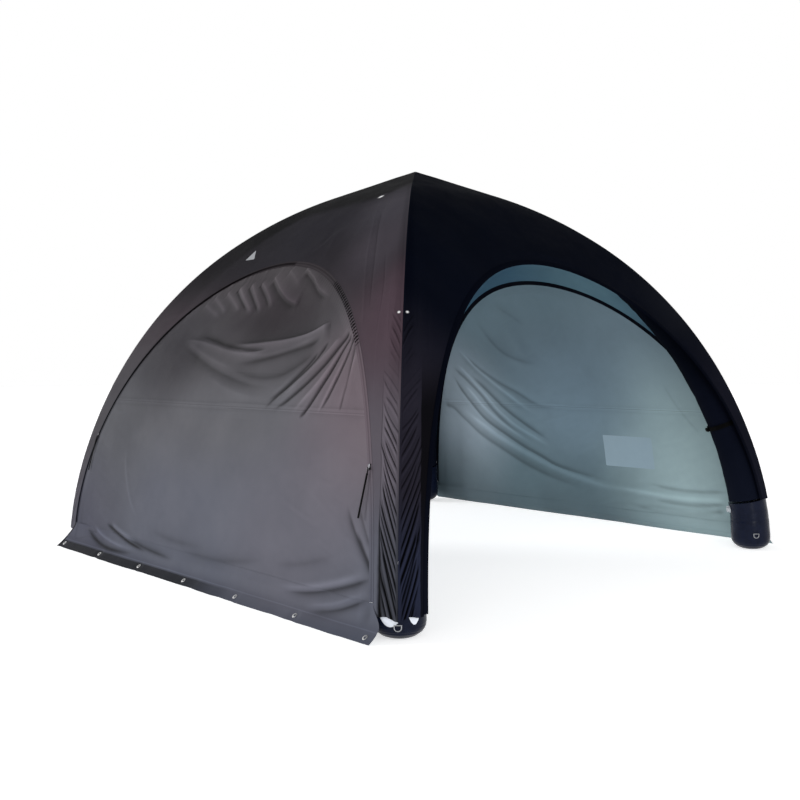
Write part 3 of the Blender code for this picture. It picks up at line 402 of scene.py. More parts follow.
def leg_creases(t, z, low, high, seed, side):
    """Chevrons either side of a leg's seam: the relief, and how far each place lies in a crease, which callers paint as
    shade; below 0, on each crease's lower lip, it is painted as a highlight.
    t is the distance from the seam."""
    rng = np.random.default_rng(seed)
    relief, dark = np.zeros(t.shape), np.zeros(t.shape)
    height = low - 0.46
    while height < high:
        fade = smooth((high - height) / (0.55 * (high - low)))
        gap = rng.uniform(0.062, 0.104)
        slope = np.interp(height, [-0.2, 0.2, 0.6, 1.0, 1.3, 1.6], [3.0, 3.0, 2.4, 1.6, 1.15, 1.0]) * rng.uniform(0.88, 1.14)
        reach = rng.uniform(0.118, 0.172)
        begin = rng.uniform(0.0, 0.016)
        bow = rng.uniform(-0.010, 0.034)
        depth = rng.uniform(0.6, 1.0) * fade
        width = rng.uniform(0.0036, 0.0055) * (1 + 0.7 * smooth((0.75 - height) / 0.5))
        q = np.clip(t / 0.15, 0, 1.2)
        d = (z - (height + slope * t + bow * np.sin(q * math.pi))) / math.hypot(1, slope)
        here = smooth((t - begin) / 0.016) * smooth((reach - t) / 0.030)
        groove = np.exp(-((d / width) ** 2)) * here * depth
        # the cloth swells over the crease's lower lip and falls away above it; the lip gets a painted highlight and the
        # fall above it painted shade
        lip = np.exp(-(((d + 0.015) / 0.009) ** 2)) * here * depth
        above = np.exp(-(((d - 0.016) / 0.012) ** 2)) * here * depth
        relief += lip * 0.0065 - groove * 0.0055 - above * 0.0012
        dark = np.maximum(dark, groove) - 0.42 * lip * (1 - dark) + 0.16 * above * (1 - dark)
        height += gap
    window = smooth((t - 0.002) / 0.010)
    return relief * window, np.clip(dark, -0.6, 1) * window


def sleeve_edge(t, z, away):
    """The loose edge of the front leg's sleeve, and the gap beside it."""
    wander = noise(z * 9.0, 0 * z, 301) * 0.004 + noise(z * 31.0, 0 * z, 302) * 0.003 * smooth((0.7 - z) / 0.4)
    d = t - (away + wander)
    width = 0.0045 + 0.0105 * smooth((0.72 - z) / 0.35)
    return np.exp(-((d / width) ** 2)) * smooth((1.75 - z) / 0.5) * (0.28 + 0.72 * smooth((0.86 - z) / 0.25)), d


def gore_relief(face, s, z, ridge_sigma, u):
    """Relief of a roof gore, and the painted shade and painted highlight at each place beside the plain cloth."""
    plus = s >= 0
    t = np.maximum(ridge_sigma - np.abs(s), 0)
    seed = {"front": 21, "right": 31, "back": 51, "left": 61}[face]
    # drawn tight over the beams, slacker between them
    slack = smooth(t / 0.30)
    total = fbm(s * 0.9 + 2, z * 1.4 + 1, seed, 2) * 0.007 * slack * smooth((z - 1.2) / 0.8)
    total += fbm(s * 3.0, z * 4.0, seed + 4, 3) * 0.0010 * slack
    total += 0.0008 * np.clip(ridged(s * 2.0 + z * 4.0, z * 6.0 - s, seed + 6, 2), 0, 1) * smooth(t / 0.08)
    shade = np.ones(s.shape)
    leg_plus, leg_minus = FACES[face][1], FACES[face][2]
    for side, leg in ((plus, leg_plus), (~plus, leg_minus)):
        low = LEGS[leg][3]
        if leg == "front":
            made, dark = leg_creases(t * (1.16 if face == "front" else 1.0), z, low, 1.70, 5 if face == "front" else 6, side)
            # long soft drapes where the sleeve leaves the roof
            fan = ridged(t * 13 + z * 0.9, z * 0.9, 15, 1) ** 2 * smooth((z - 1.25) / 0.3) * smooth((2.3 - z) / 0.5)
            made = made + 0.0035 * fan * smooth(t / 0.03) * smooth((0.26 - t) / 0.1)
            gap, off = sleeve_edge(t, z, 0.131 if face == "front" else 0.152)
            made = made - 0.0055 * gap
            sleeve = smooth(-off / 0.006) * smooth((1.9 - z) / 0.7)
            if face == "front":
                # the sleeve darker towards the bottom, paler in its middle, and darker low down away from the seam;
                # painted shade in each groove, in the gap beside the sleeve's edge and along the welted seam; a painted
                # highlight on each groove's lower lip
                tone = 1 - sleeve * 0.46 * smooth((0.95 - z) / 0.75)
                tone = tone * (1 + 0.26 * sleeve * smooth((z - 0.70) / 0.3) * smooth((1.7 - z) / 0.4))
                tone = tone * (1 - 0.50 * smooth((t - 0.075) / 0.04) * smooth((0.60 - z) / 0.35) * smooth(-off / 0.004))
                tone = tone * (1 - 0.97 * np.clip(dark * 1.5, 0, 1) + 1.0 * np.clip(-dark, 0, 1)) * (1 - 0.95 * gap)
                tone = tone * (1 - 0.35 * smooth((0.012 - t) / 0.004) * smooth((1.6 - z) / 0.4))
            else:
                low_down = smooth((1.15 - z) / 0.5)
                # the sleeve a little darker towards the bottom; painted shade in each groove and a painted highlight on
                # each lip, both stronger low down; painted shade over the gap past the sleeve's edge and the cloth
                # beyond it
                tone = 1 - 0.15 * sleeve * smooth((0.80 - z) / 0.75)
                tone = tone * (1 - (0.45 + 0.52 * low_down) * np.clip(dark * 1.5, 0, 1) + (0.5 + 1.2 * low_down) * np.clip(-dark, 0, 1))
                tone = tone * (1 - 0.82 * smooth((off + 0.004) / 0.008) * smooth((1.75 - z) / 0.4))
                made = made + 0.0055 * gap
            # short wrinkles round the pair of studs on the ridge, with painted shade in them
            pull, lines = leg_creases(t * 1.6, z, 1.70, 1.98, 44 if face == "front" else 45, side)
            near = np.exp(-(((z - 1.84) / 0.15) ** 2)) * smooth((0.11 - t) / 0.06)
            made = made + pull * 0.5 * near
            tone = tone * (1 - (0.55 if face == "front" else 0.8) * np.clip(lines, 0, 1) * near)
        else:
            made, dark = leg_creases(t, z, low, 1.1, seed + 2, side)
            made = made * 0.35
            # painted shade in the creases
            tone = 1 - 0.35 * np.clip(dark, 0, 1)
        total = np.where(side, total + made, total)
        shade = np.where(side, shade * tone, shade)
    if face == "front":
        # long lines that run from the crown down beside the front ridge
        for line, depth, width in (
            ([(0.42, 3.02), (0.86, 2.62), (1.22, 2.16), (1.44, 1.80)], 0.0030, 0.018),
            ([(0.62, 2.92), (1.08, 2.46), (1.42, 1.96)], -0.0040, 0.016),
            ([(1.15, 2.52), (1.42, 2.16), (1.58, 1.80)], -0.0030, 0.014),
        ):
            d, share = fold_field(s, z, line)
            total += depth * np.exp(-np.abs(d) / width) * smooth(share / 0.3) * smooth((1 - share) / 0.2)
        # slack just outside the top of the zip
        total += 0.004 * ridged(s * 5, z * 3.4, 91, 2) ** 2 * np.exp(-(((s - 0.35) / 0.35) ** 2 + ((z - 2.62) / 0.12) ** 2))
        # painted shade on the band along the far ridge, which turns away from the light
        edge = np.interp(s, [-0.80, -0.694, -0.534, -0.30, -0.045, 0.20, 0.43, 0.60], [2.60, 2.70, 2.86, 2.90, 2.917, 2.944, 2.955, 3.06])
        top = smooth((z - edge + 0.030) / 0.095) * smooth((0.60 - s) / 0.20)
        left = smooth((0.53 - t) / 0.12) * smooth((z - 1.85) / 0.75) * (s < 0)
        dark_band = np.maximum(top, left) * smooth((np.hypot(s - 0.424, z - 2.975) - 0.030) / 0.02)
        shade *= 1 - (0.50 + 0.38 * smooth((z - 2.55) / 0.3)) * dark_band
        # shadow where the cloth meets the left half of the zip
        shade *= 1 - 0.20 * smooth((0.0075 - u) / 0.0040) * smooth((0.12 - s) / 0.10) * smooth((z - 0.8) / 0.4)
    # welted ridge seam
    total += 0.0016 * smooth((0.013 - t) / 0.003)
    return total, shade


def crown_lift(points):
    r = np.hypot(points[..., 0], points[..., 1]) / CROWN_PEAK_R
    return CROWN_PEAK * (np.sqrt((1 - r) ** 2 + 0.01) + 1 - r) / 2 * np.clip((1.6 - r) * 2, 0, 1)


# ------------------------------------------------------------- mesh utilities
def tidy_normal(grid):
    a = np.gradient(grid, axis=0)
    b = np.gradient(grid, axis=1)
    n = np.cross(a, b)
    return n / np.maximum(np.linalg.norm(n, axis=-1, keepdims=True), 1e-9)


def write_mesh(name, verts, quads, slots, uv, crease, materials, smooth_angle=50.0, trim=None):
    mesh = bpy.data.meshes.new(name)
    verts = np.asarray(verts, np.float32)
    sizes = np.array([len(q) for q in quads], np.int32)
    loops = np.concatenate([np.asarray(q, np.int32) for q in quads]) if not isinstance(quads, np.ndarray) else quads.reshape(-1).astype(np.int32)
    mesh.vertices.add(len(verts))
    mesh.vertices.foreach_set("co", verts.reshape(-1))
    mesh.loops.add(len(loops))
    mesh.loops.foreach_set("vertex_index", loops)
    mesh.polygons.add(len(sizes))
    starts = np.concatenate([[0], np.cumsum(sizes)[:-1]]).astype(np.int32)
    mesh.polygons.foreach_set("loop_start", starts)
    mesh.polygons.foreach_set("loop_total", sizes)
    mesh.polygons.foreach_set("material_index", np.asarray(slots, np.int32))
    mesh.update(calc_edges=True)
    if uv is not None:
        layer = mesh.uv_layers.new(name="UVMap")
        layer.data.foreach_set("uv", np.asarray(uv, np.float32)[loops].reshape(-1))
    if crease is not None:
        att = mesh.attributes.new("shade", "FLOAT", "POINT")
        att.data.foreach_set("value", np.asarray(crease, np.float32))
    if trim is not None:
        att = mesh.attributes.new("trim", "FLOAT", "POINT")
        att.data.foreach_set("value", np.asarray(trim, np.float32))
    for m in materials:
        mesh.materials.append(m)
    mesh.validate()
    mesh.shade_smooth()
    mesh.set_sharp_from_angle(angle=math.radians(smooth_angle))
    obj = bpy.data.objects.new(name, mesh)
    bpy.context.scene.collection.objects.link(obj)
    return obj


def shell(name, outer, inner, materials, shade=None, closed_cols=False, through=0.4, trim=None):
    """Closed thin piece between two grids. Slot 0 is the outer face and the edges, slot 1 the inner face."""
    outer, inner = np.asarray(outer, float), np.asarray(inner, float)
    rows, cols = outer.shape[:2]
    n = rows * cols
    idx = np.arange(n).reshape(rows, cols)
    if closed_cols:
        wrap = np.concatenate([idx, idx[:, :1]], 1)
    else:
        wrap = idx
    a, b, c, d = wrap[:-1, :-1], wrap[:-1, 1:], wrap[1:, 1:], wrap[1:, :-1]
    top = np.stack([a, b, c, d], -1).reshape(-1, 4)
    under = np.stack([a, d, c, b], -1).reshape(-1, 4) + n
    rim = []
    for line in ([wrap[0]], [wrap[-1][::-1]]):
        e = line[0]
        rim.append(np.stack([e[1:], e[:-1], e[:-1] + n, e[1:] + n], -1))
    if not closed_cols:
        for e in (idx[::-1, 0], idx[:, -1]):
            rim.append(np.stack([e[1:], e[:-1], e[:-1] + n, e[1:] + n], -1))
    rim = np.concatenate(rim)
    quads = np.concatenate([top, under, rim])
    verts = np.concatenate([outer.reshape(-1, 3), inner.reshape(-1, 3)])
    centre = (outer[:-1, :-1] + outer[1:, 1:]) / 2 - (inner[:-1, :-1] + inner[1:, 1:]) / 2
    face_n = np.cross(outer[:-1, 1:] - outer[:-1, :-1], outer[1:, :-1] - outer[:-1, :-1])
    if (centre * face_n).sum() < 0:
        quads = quads[:, ::-1]
    slots = np.concatenate([np.zeros(len(top)), np.ones(len(under)) * min(1, len(materials) - 1), np.zeros(len(rim))])
    u = np.concatenate([np.zeros((1, cols)), np.cumsum(np.linalg.norm(np.diff(outer, axis=0), axis=-1), 0)])
    v = np.concatenate([np.zeros((rows, 1)), np.cumsum(np.linalg.norm(np.diff(outer, axis=1), axis=-1), 1)], 1)
    uv = np.stack([u, v], -1).reshape(-1, 2)
    uv = np.concatenate([uv, uv + 0.37])
    # painted shade and highlight: the inner face gets the outer face's turned about, as a crest outside is a crease
    # inside, by the share through
    flat = np.ones(n) if shade is None else np.asarray(shade, float).reshape(-1)
    shade = np.concatenate([flat, np.clip(1 - (flat - 1) * through, 0.55, 1.35)])
    if trim is not None:
        trim = np.concatenate([np.asarray(trim, float).reshape(-1)] * 2)
    return write_mesh(name, verts, quads, slots, uv, shade, materials, trim=trim)


def area_of(grid):
    g = np.asarray(grid, float)
    a = np.linalg.norm(np.cross(g[1:, 1:] - g[:-1, :-1], g[1:, :-1] - g[:-1, 1:]), axis=-1) / 2
    return float(a.sum())


def painted_crest_shade(d, up=0.30, down=0.55, reach=10, full=0.0022):
    """Painted light: crests come out paler as a painted highlight, creases darker as painted shade."""
    blur = d.copy()
    for _ in range(reach):
        p = np.pad(blur, 1, mode="edge")
        blur = (p[:-2, 1:-1] + p[2:, 1:-1] + p[1:-1, :-2] + p[1:-1, 2:] + 2 * blur) / 6
    k = np.clip((d - blur) / full, -1, 1)
    return 1 + up * np.maximum(k, 0) + down * np.minimum(k, 0)


def lathe(name, profile, steps, material, matrix, smooth_angle=35.0):
    """Closed ring or solid turned about Z from (radius, height) points."""
    prof = np.asarray(profile, float)
    a = np.linspace(0, 2 * math.pi, steps, endpoint=False)
    grid = np.stack(
        [prof[:, None, 0] * np.cos(a), prof[:, None, 0] * np.sin(a), np.repeat(prof[:, 1:2], steps, 1)], -1
    )
    n = len(prof)
    idx = np.arange(n * steps).reshape(n, steps)
    nxt = np.roll(idx, -1, 1)
    down = np.roll(idx, -1, 0)
    down_nxt = np.roll(down, -1, 1)
    quads = np.stack([idx, nxt, down_nxt, down], -1).reshape(-1, 4)
    verts = grid.reshape(-1, 3)
    vol = 0.0
    for q in quads[:: max(1, len(quads) // 4000)]:
        p0, p1, p2, p3 = verts[q]
        vol += np.dot(p0, np.cross(p1, p2)) + np.dot(p0, np.cross(p2, p3))
    if vol < 0:
        quads = quads[:, ::-1]
    m = np.array(matrix)
    world = verts @ m[:3, :3].T + m[:3, 3]
    return write_mesh(name, world, quads, np.zeros(len(quads)), verts[:, :2] * 1.0, None, [material], smooth_angle)


# ------------------------------------------------------------------ materials
def start(name):
    m = bpy.data.materials.new(name)
    m.use_nodes = True
    nt = m.node_tree
    nt.nodes.clear()
    out = nt.nodes.new("ShaderNodeOutputMaterial")
    bsdf = nt.nodes.new("ShaderNodeBsdfPrincipled")
    nt.links.new(bsdf.outputs[0], out.inputs["Surface"])
    return m, nt, bsdf


def put(nt, socket, value):
    if isinstance(value, bpy.types.NodeSocket):
        nt.links.new(value, socket)
    elif value is not None:
        socket.default_value = value


def calc(nt, op, a, b=None, clamp=False):
    n = nt.nodes.new("ShaderNodeMath")
    n.operation = op
    n.use_clamp = clamp
    put(nt, n.inputs[0], a)
    put(nt, n.inputs[1], b)
    return n.outputs[0]


def ranged(nt, value, a, b, c=0.0, d=1.0, kind="SMOOTHSTEP"):
    n = nt.nodes.new("ShaderNodeMapRange")
    n.interpolation_type = kind
    for k, v in enumerate((value, a, b, c, d)):
        put(nt, n.inputs[k], v)
    return n.outputs[0]


def mixed(nt, fac, a, b, blend="MIX"):
    n = nt.nodes.new("ShaderNodeMix")
    n.data_type = "RGBA"
    n.blend_type = blend
    put(nt, n.inputs[0], fac)
    for k, v in ((6, a), (7, b)):
        put(nt, n.inputs[k], (*v, 1.0) if isinstance(v, tuple) else v)
    return n.outputs[2]


def noise_tex(nt, vector, scale, detail=3.0, rough=0.5, warp=0.0):
    n = nt.nodes.new("ShaderNodeTexNoise")
    put(nt, n.inputs["Vector"], vector)
    n.inputs["Scale"].default_value = scale
    n.inputs["Detail"].default_value = detail
    n.inputs["Roughness"].default_value = rough
    n.inputs["Distortion"].default_value = warp
    return n.outputs["Fac"]


def waves(nt, vector, scale, axis):
    n = nt.nodes.new("ShaderNodeTexWave")
    n.wave_type = "BANDS"
    n.bands_direction = axis
    put(nt, n.inputs["Vector"], vector)
    n.inputs["Scale"].default_value = scale
    n.inputs["Distortion"].default_value = 0.0
    return n.outputs["Fac"]


def trimmed(nt):
    """Share of a second colour, whose outline is where the mesh's trim value passes zero."""
    att = nt.nodes.new("ShaderNodeAttribute")
    att.attribute_name = "trim"
    return ranged(nt, att.outputs["Fac"], 0.0, 0.002)


def cloth(name, stops, spots=(), lines=(), rough=0.78, spec=0.12, sheen=0.05, tint=(0.8, 0.8, 0.85), weave=1.0, crinkle=0.10, mottled=0.05, trim=None):
    """Woven polyester. stops are (height, colour); spots are (centre, radius, squash z, colour, strength); lines are (height, half width, factor)."""
    m, nt, bsdf = start(name)
    coord = nt.nodes.new("ShaderNodeTexCoord")
    place = coord.outputs["Object"]
    split = nt.nodes.new("ShaderNodeSeparateXYZ")
    put(nt, split.inputs[0], place)
    x, y, z = split.outputs
    colour = stops[0][1]
    for (z0, _), (z1, c1) in zip(stops, stops[1:]):
        colour = mixed(nt, ranged(nt, z, z0, z1), colour, c1)
    for centre, radius, tall, c, strength in spots:
        shift = nt.nodes.new("ShaderNodeMapping")
        put(nt, shift.inputs["Vector"], place)
        shift.inputs["Location"].default_value = (-centre[0], -centre[1], -centre[2] * tall)
        shift.inputs["Scale"].default_value = (1, 1, tall)
        length = nt.nodes.new("ShaderNodeVectorMath")
        length.operation = "LENGTH"
        put(nt, length.inputs[0], shift.outputs[0])
        colour = mixed(nt, ranged(nt, length.outputs["Value"], radius, radius * 0.15, 0.0, strength), colour, c)
    # uneven dye and handling marks
    large = noise_tex(nt, place, 1.3, 4.0, 0.55, 0.6)
    colour = mixed(nt, 1.0, colour, mixed(nt, ranged(nt, large, 0.3, 0.7), (1 - mottled, 1 - mottled, 1 - mottled * 0.9), (1 + mottled, 1 + mottled * 0.96, 1 + mottled)), "MULTIPLY")
    fine = noise_tex(nt, place, 9.0, 5.0, 0.6, 0.3)
    colour = mixed(nt, 1.0, colour, mixed(nt, fine, (0.95, 0.95, 0.95), (1.05, 1.05, 1.05)), "MULTIPLY")
    for height, half, factor in lines:
        off = calc(nt, "ABSOLUTE", calc(nt, "SUBTRACT", z, height))
        colour = mixed(nt, ranged(nt, off, half, half * 0.5), colour, mixed(nt, 1.0, colour, (factor, factor, factor), "MULTIPLY"))
    if trim is not None:
        colour = mixed(nt, trimmed(nt), colour, trim)
    # painted light from the mesh's shade value: paler crests as painted highlight, darker creases as painted shade
    att = nt.nodes.new("ShaderNodeAttribute")
    att.attribute_name = "shade"
    grey = nt.nodes.new("ShaderNodeCombineColor")
    for k in range(3):
        put(nt, grey.inputs[k], att.outputs["Fac"])
    colour = mixed(nt, 1.0, colour, grey.outputs[0], "MULTIPLY")
    # the weave: warp and weft threads, and a coarser ripstop grid
    uv = coord.outputs["UV"]
    warp, weft = waves(nt, uv, 210.0 / weave, "X"), waves(nt, uv, 210.0 / weave, "Y")
    threads = calc(nt, "MULTIPLY", warp, weft)
    rip = calc(nt, "MAXIMUM", calc(nt, "POWER", waves(nt, uv, 32.0, "X"), 18.0), calc(nt, "POWER", waves(nt, uv, 32.0, "Y"), 18.0))
    colour = mixed(nt, 1.0, colour, mixed(nt, threads, (0.96, 0.96, 0.96), (1.03, 1.03, 1.03)), "MULTIPLY")
    put(nt, bsdf.inputs["Base Color"], colour)
    worn = noise_tex(nt, place, 3.0, 4.0, 0.6)
    put(nt, bsdf.inputs["Roughness"], ranged(nt, worn, 0.25, 0.75, rough - 0.07, rough + 0.07))
    bsdf.inputs["Specular IOR Level"].default_value = spec
    bsdf.inputs["Sheen Weight"].default_value = sheen
    bsdf.inputs["Sheen Roughness"].default_value = 0.45
    bsdf.inputs["Sheen Tint"].default_value = (*tint, 1.0)
    creased = noise_tex(nt, place, 16.0, 6.0, 0.62, 1.2)
    b1 = nt.nodes.new("ShaderNodeBump")
    b1.inputs["Strength"].default_value = crinkle
    b1.inputs["Distance"].default_value = 0.006
    put(nt, b1.inputs["Height"], creased)
    b2 = nt.nodes.new("ShaderNodeBump")
    b2.inputs["Strength"].default_value = 0.18
    b2.inputs["Distance"].default_value = 0.0006
    put(nt, b2.inputs["Height"], calc(nt, "ADD", threads, calc(nt, "MULTIPLY", rip, 0.8)))
    put(nt, b2.inputs["Normal"], b1.outputs[0])
    put(nt, bsdf.inputs["Normal"], b2.outputs[0])
    return m


def coated(name, base, rough, spec, coat, bump=0.12, scale=14.0, wear=(0.10, 0.10, 0.115), trim=None):
    """Glossy coated fabric with soft dents, dust low down and scuffs."""
    m, nt, bsdf = start(name)
    coord = nt.nodes.new("ShaderNodeTexCoord")
    place = coord.outputs["Object"]
    split = nt.nodes.new("ShaderNodeSeparateXYZ")
    put(nt, split.inputs[0], place)
    fine = noise_tex(nt, place, scale, 5.0, 0.6, 0.5)
    colour = mixed(nt, ranged(nt, fine, 0.2, 0.8), base, tuple(v * 1.5 + 0.001 for v in base))
    low = ranged(nt, split.outputs[2], 0.09, 0.0)
    scuff = ranged(nt, noise_tex(nt, place, 38.0, 6.0, 0.7, 1.0), 0.56, 0.74)
    colour = mixed(nt, calc(nt, "MULTIPLY", calc(nt, "MULTIPLY", low, scuff), 0.6), colour, wear)
    if trim is not None:
        colour = mixed(nt, trimmed(nt), colour, trim)
    put(nt, bsdf.inputs["Base Color"], colour)
    put(nt, bsdf.inputs["Roughness"], ranged(nt, noise_tex(nt, place, 6.0, 4.0, 0.6), 0.25, 0.75, rough * 0.75, rough * 1.35))
    bsdf.inputs["Specular IOR Level"].default_value = spec
    bsdf.inputs["Coat Weight"].default_value = coat
    bsdf.inputs["Coat Roughness"].default_value = 0.12
    b = nt.nodes.new("ShaderNodeBump")
    b.inputs["Strength"].default_value = bump
    b.inputs["Distance"].default_value = 0.01
    put(nt, b.inputs["Height"], noise_tex(nt, place, scale * 0.8, 3.0, 0.5, 0.8))
    put(nt, bsdf.inputs["Normal"], b.outputs[0])
    return m


def metal(name, base, rough):
    m, nt, bsdf = start(name)
    coord = nt.nodes.new("ShaderNodeTexCoord")
    place = coord.outputs["Object"]
    spot = noise_tex(nt, place, 220.0, 4.0, 0.6)
    put(nt, bsdf.inputs["Base Color"], mixed(nt, spot, tuple(v * 0.75 for v in base), base))
    bsdf.inputs["Metallic"].default_value = 1.0
    put(nt, bsdf.inputs["Roughness"], ranged(nt, spot, 0.3, 0.7, rough * 0.7, rough * 1.4))
    b = nt.nodes.new("ShaderNodeBump")
    b.inputs["Strength"].default_value = 0.10
    b.inputs["Distance"].default_value = 0.0005
    put(nt, b.inputs["Height"], noise_tex(nt, place, 600.0, 3.0))
    put(nt, bsdf.inputs["Normal"], b.outputs[0])
    return m


def moulded(name, base, rough=0.45):
    m, nt, bsdf = start(name)
    coord = nt.nodes.new("ShaderNodeTexCoord")
    place = coord.outputs["Object"]
    spot = noise_tex(nt, place, 90.0, 4.0, 0.6)
    put(nt, bsdf.inputs["Base Color"], mixed(nt, spot, tuple(v * 0.88 for v in base), tuple(v * 1.06 for v in base)))
    put(nt, bsdf.inputs["Roughness"], ranged(nt, spot, 0.3, 0.7, rough - 0.08, rough + 0.08))
    b = nt.nodes.new("ShaderNodeBump")
    b.inputs["Strength"].default_value = 0.15
    b.inputs["Distance"].default_value = 0.0004
    put(nt, b.inputs["Height"], noise_tex(nt, place, 900.0, 2.0))
    put(nt, bsdf.inputs["Normal"], b.outputs[0])
    return m


def lin(r, g, b):
    """Linear colour from 0-255 values as they look."""
    return tuple(((v / 255 + 0.055) / 1.055) ** 2.4 if v > 10 else v / 255 / 12.92 for v in (r, g, b))


# painted light: the wall's colour darkens towards the top, painted shade where the cloth turns up from the light, and
# the patches are painted light and shade
WALL_STOPS = [(0.0, lin(82, 85, 96)), (0.55, lin(86, 88, 98)), (1.25, lin(87, 87, 92)), (1.75, lin(70, 68, 72)), (2.40, lin(60, 56, 59))]
WALL_LIGHT_AND_SHADE = [
    ((0.25, -1.95, 2.05), 1.10, 2.4, lin(38, 32, 37), 0.92),
    ((-1.1, -2.0, 1.82), 1.0, 1.1, lin(43, 41, 46), 0.84),
    ((-1.7, -2.2, 0.9), 1.1, 0.9, lin(74, 75, 80), 0.75),
    ((1.65, -2.1, 1.45), 0.95, 0.8, lin(104, 91, 98), 0.82),
    ((1.2, -2.2, 0.6), 1.1, 1.0, lin(96, 94, 103), 0.6),
    ((-1.9, -2.3, 0.2), 1.0, 1.0, lin(62, 62, 76), 0.6),
]
WALL_OUT = cloth("wall_fabric", WALL_STOPS, WALL_LIGHT_AND_SHADE, [(1.325, 0.0035, 0.80), (1.310, 0.002, 0.85)])
# the dyed tape takes the wall's colour, with its painted shade towards the top and its painted light patches
ZIP_CLOTH = cloth("zip_tape_dyed", [(z, tuple(v * 0.96 for v in c)) for z, c in WALL_STOPS], WALL_LIGHT_AND_SHADE[2:], spec=0.0, sheen=0.0, weave=1.6)
# the coating's own paler teal, partly painted light: paler towards the top and in patches where light shines through
# the cloth, darker low on the left as painted shade
INNER_WALL = cloth(
    "wall_inner_face",
    [(0.05, lin(72, 88, 95)), (0.45, lin(80, 98, 106)), (1.0, lin(90, 109, 119)), (1.6, lin(90, 107, 117)), (2.4, lin(96, 116, 126))],
    spots=[
        ((1.2, 2.0, 1.75), 1.2, 1.0, lin(108, 127, 138), 0.9),
        ((1.7, 2.2, 0.70), 1.6, 1.0, lin(137, 157, 160), 0.9),
        ((0.1, 2.0, 1.35), 1.1, 1.0, lin(97, 116, 129), 0.72),
        ((-1.6, 2.1, 1.1), 1.1, 0.8, lin(134, 147, 157), 0.88),
        ((-1.6, 2.3, 0.15), 0.9, 1.0, lin(66, 78, 84), 0.6),
    ],
    lines=[(1.19, 0.004, 0.74), (1.174, 0.002, 0.84)],
    rough=0.7, spec=0.12, sheen=0.0, trim=lin(125, 144, 155),
)


def stud(side, z=1.985, away=0.028):
    flat, corner = slice_shape(z)
    p = turned(skin(side * (flat + corner * math.pi / 4 - away), z), 0.0 if side > 0 else 90.0)
    return tuple(float(v) for v in p), 0.015, 1.0, (0.95, 0.95, 0.95), 1.0


STUDS = [stud(1), stud(-1)]
# the lit copy of the roof fabric, for the face towards the key light: painted shade darkens it towards the top, and the
# patches before the small white dot are painted light and shade
ROOF_FRONT = cloth(
    "roof_fabric_front",
    [(0.0, lin(80, 79, 88)), (1.3, lin(82, 77, 84)), (1.9, lin(62, 55, 60)), (2.45, lin(37, 34, 39)), (2.85, lin(33, 31, 37)), (3.25, lin(26, 25, 28))],
    spots=[
        ((1.75, -1.75, 2.1), 0.75, 0.7, lin(76, 60, 69), 0.75),
        ((0.95, -0.95, 2.95), 0.8, 1.2, lin(68, 65, 72), 0.80),
        ((1.08, -1.36, 2.50), 0.50, 1.0, lin(66, 61, 68), 0.75),
        ((-0.1, -1.45, 2.65), 0.85, 1.2, lin(35, 34, 40), 0.65),
        ((-1.8, -2.0, 1.2), 1.0, 0.8, lin(68, 67, 70), 0.8),
        ((2.1, -2.2, 0.25), 0.62, 0.8, lin(84, 87, 97), 0.85),
        ((-1.0, -1.2, 2.75), 0.9, 1.0, lin(28, 27, 30), 0.6),
        ((0.424, -0.778, 3.0), 0.036, 1.0, (0.9, 0.9, 0.9), 1.0),
        *STUDS,
    ],
    spec=0.04, sheen=0.02, trim=lin(160, 162, 166),
)
# the shaded copy of the same roof fabric, for the faces turned from the key light: painted shade, darker towards the
# top, with three paler patches of painted light
ROOF_SHADED = cloth(
    "roof_fabric_dark",
    [(0.0, lin(20, 22, 34)), (1.2, lin(16, 17, 27)), (2.0, lin(4, 7, 18)), (3.2, lin(2, 6, 18))],
    spots=[((2.05, -2.05, 0.85), 1.05, 0.55, lin(36, 34, 43), 0.9), ((2.1, -2.05, 0.30), 0.50, 0.8, lin(38, 44, 64), 0.85), ((1.6, 1.6, 2.2), 0.6, 1.0, lin(22, 24, 30), 0.6), *STUDS],
    spec=0.02, sheen=0.0, mottled=0.10,
)
# the inner coating's own teal, partly painted light: paler towards the top and in one patch where light shines through
# the roof
ROOF_INNER = cloth(
    "roof_inner_face",
    [(0.3, lin(17, 25, 38)), (1.4, lin(27, 41, 56)), (2.2, lin(52, 82, 101)), (3.2, lin(54, 86, 105))],
    spots=[((0.9, 1.5, 2.6), 1.1, 1.0, lin(88, 118, 130), 0.85)],
    rough=0.7, spec=0.08, sheen=0.0, mottled=0.10,
)
# the flap's colour a little darker towards the bottom; its two patches repeat the wall's painted light and shade
HEM_CLOTH = cloth(
    "flap_fabric",
    [(0.0, lin(76, 80, 93)), (0.06, lin(78, 81, 93)), (0.12, lin(82, 85, 96)), (0.25, lin(82, 85, 96))],
    spots=[((-1.9, -2.3, 0.2), 1.0, 1.0, lin(62, 62, 76), 0.6), ((1.2, -2.2, 0.6), 1.1, 1.0, lin(96, 94, 103), 0.6)],
)
SLEEVE = cloth("sleeve_fabric", [(0.0, lin(15, 19, 31)), (1.2, lin(8, 11, 22)), (1.7, lin(3, 6, 15)), (3.2, lin(3, 6, 15))], spec=0.02, sheen=0.0)
ZIP_TAPE = cloth("zip_tape", [(0.0, lin(8, 10, 18)), (3.0, lin(3, 5, 14))], spec=0.02, sheen=0.0, weave=1.6)
TRIM_TAPE = cloth("arch_trim_tape", [(0.0, lin(12, 14, 24)), (1.4, lin(4, 6, 15)), (3.0, lin(3, 6, 16))], spec=0.01, sheen=0.0, weave=1.6)
WEBBING = cloth("black_webbing", [(0.0, lin(10, 10, 14)), (3.0, lin(8, 8, 12))], spec=0.06, sheen=0.0, weave=2.5)
BOOT = coated("coated_boot", lin(11, 16, 32), 0.24, 0.085, 0.0, trim=lin(222, 227, 236))
TOOTH = moulded("zip_teeth", lin(14, 14, 17), 0.35)
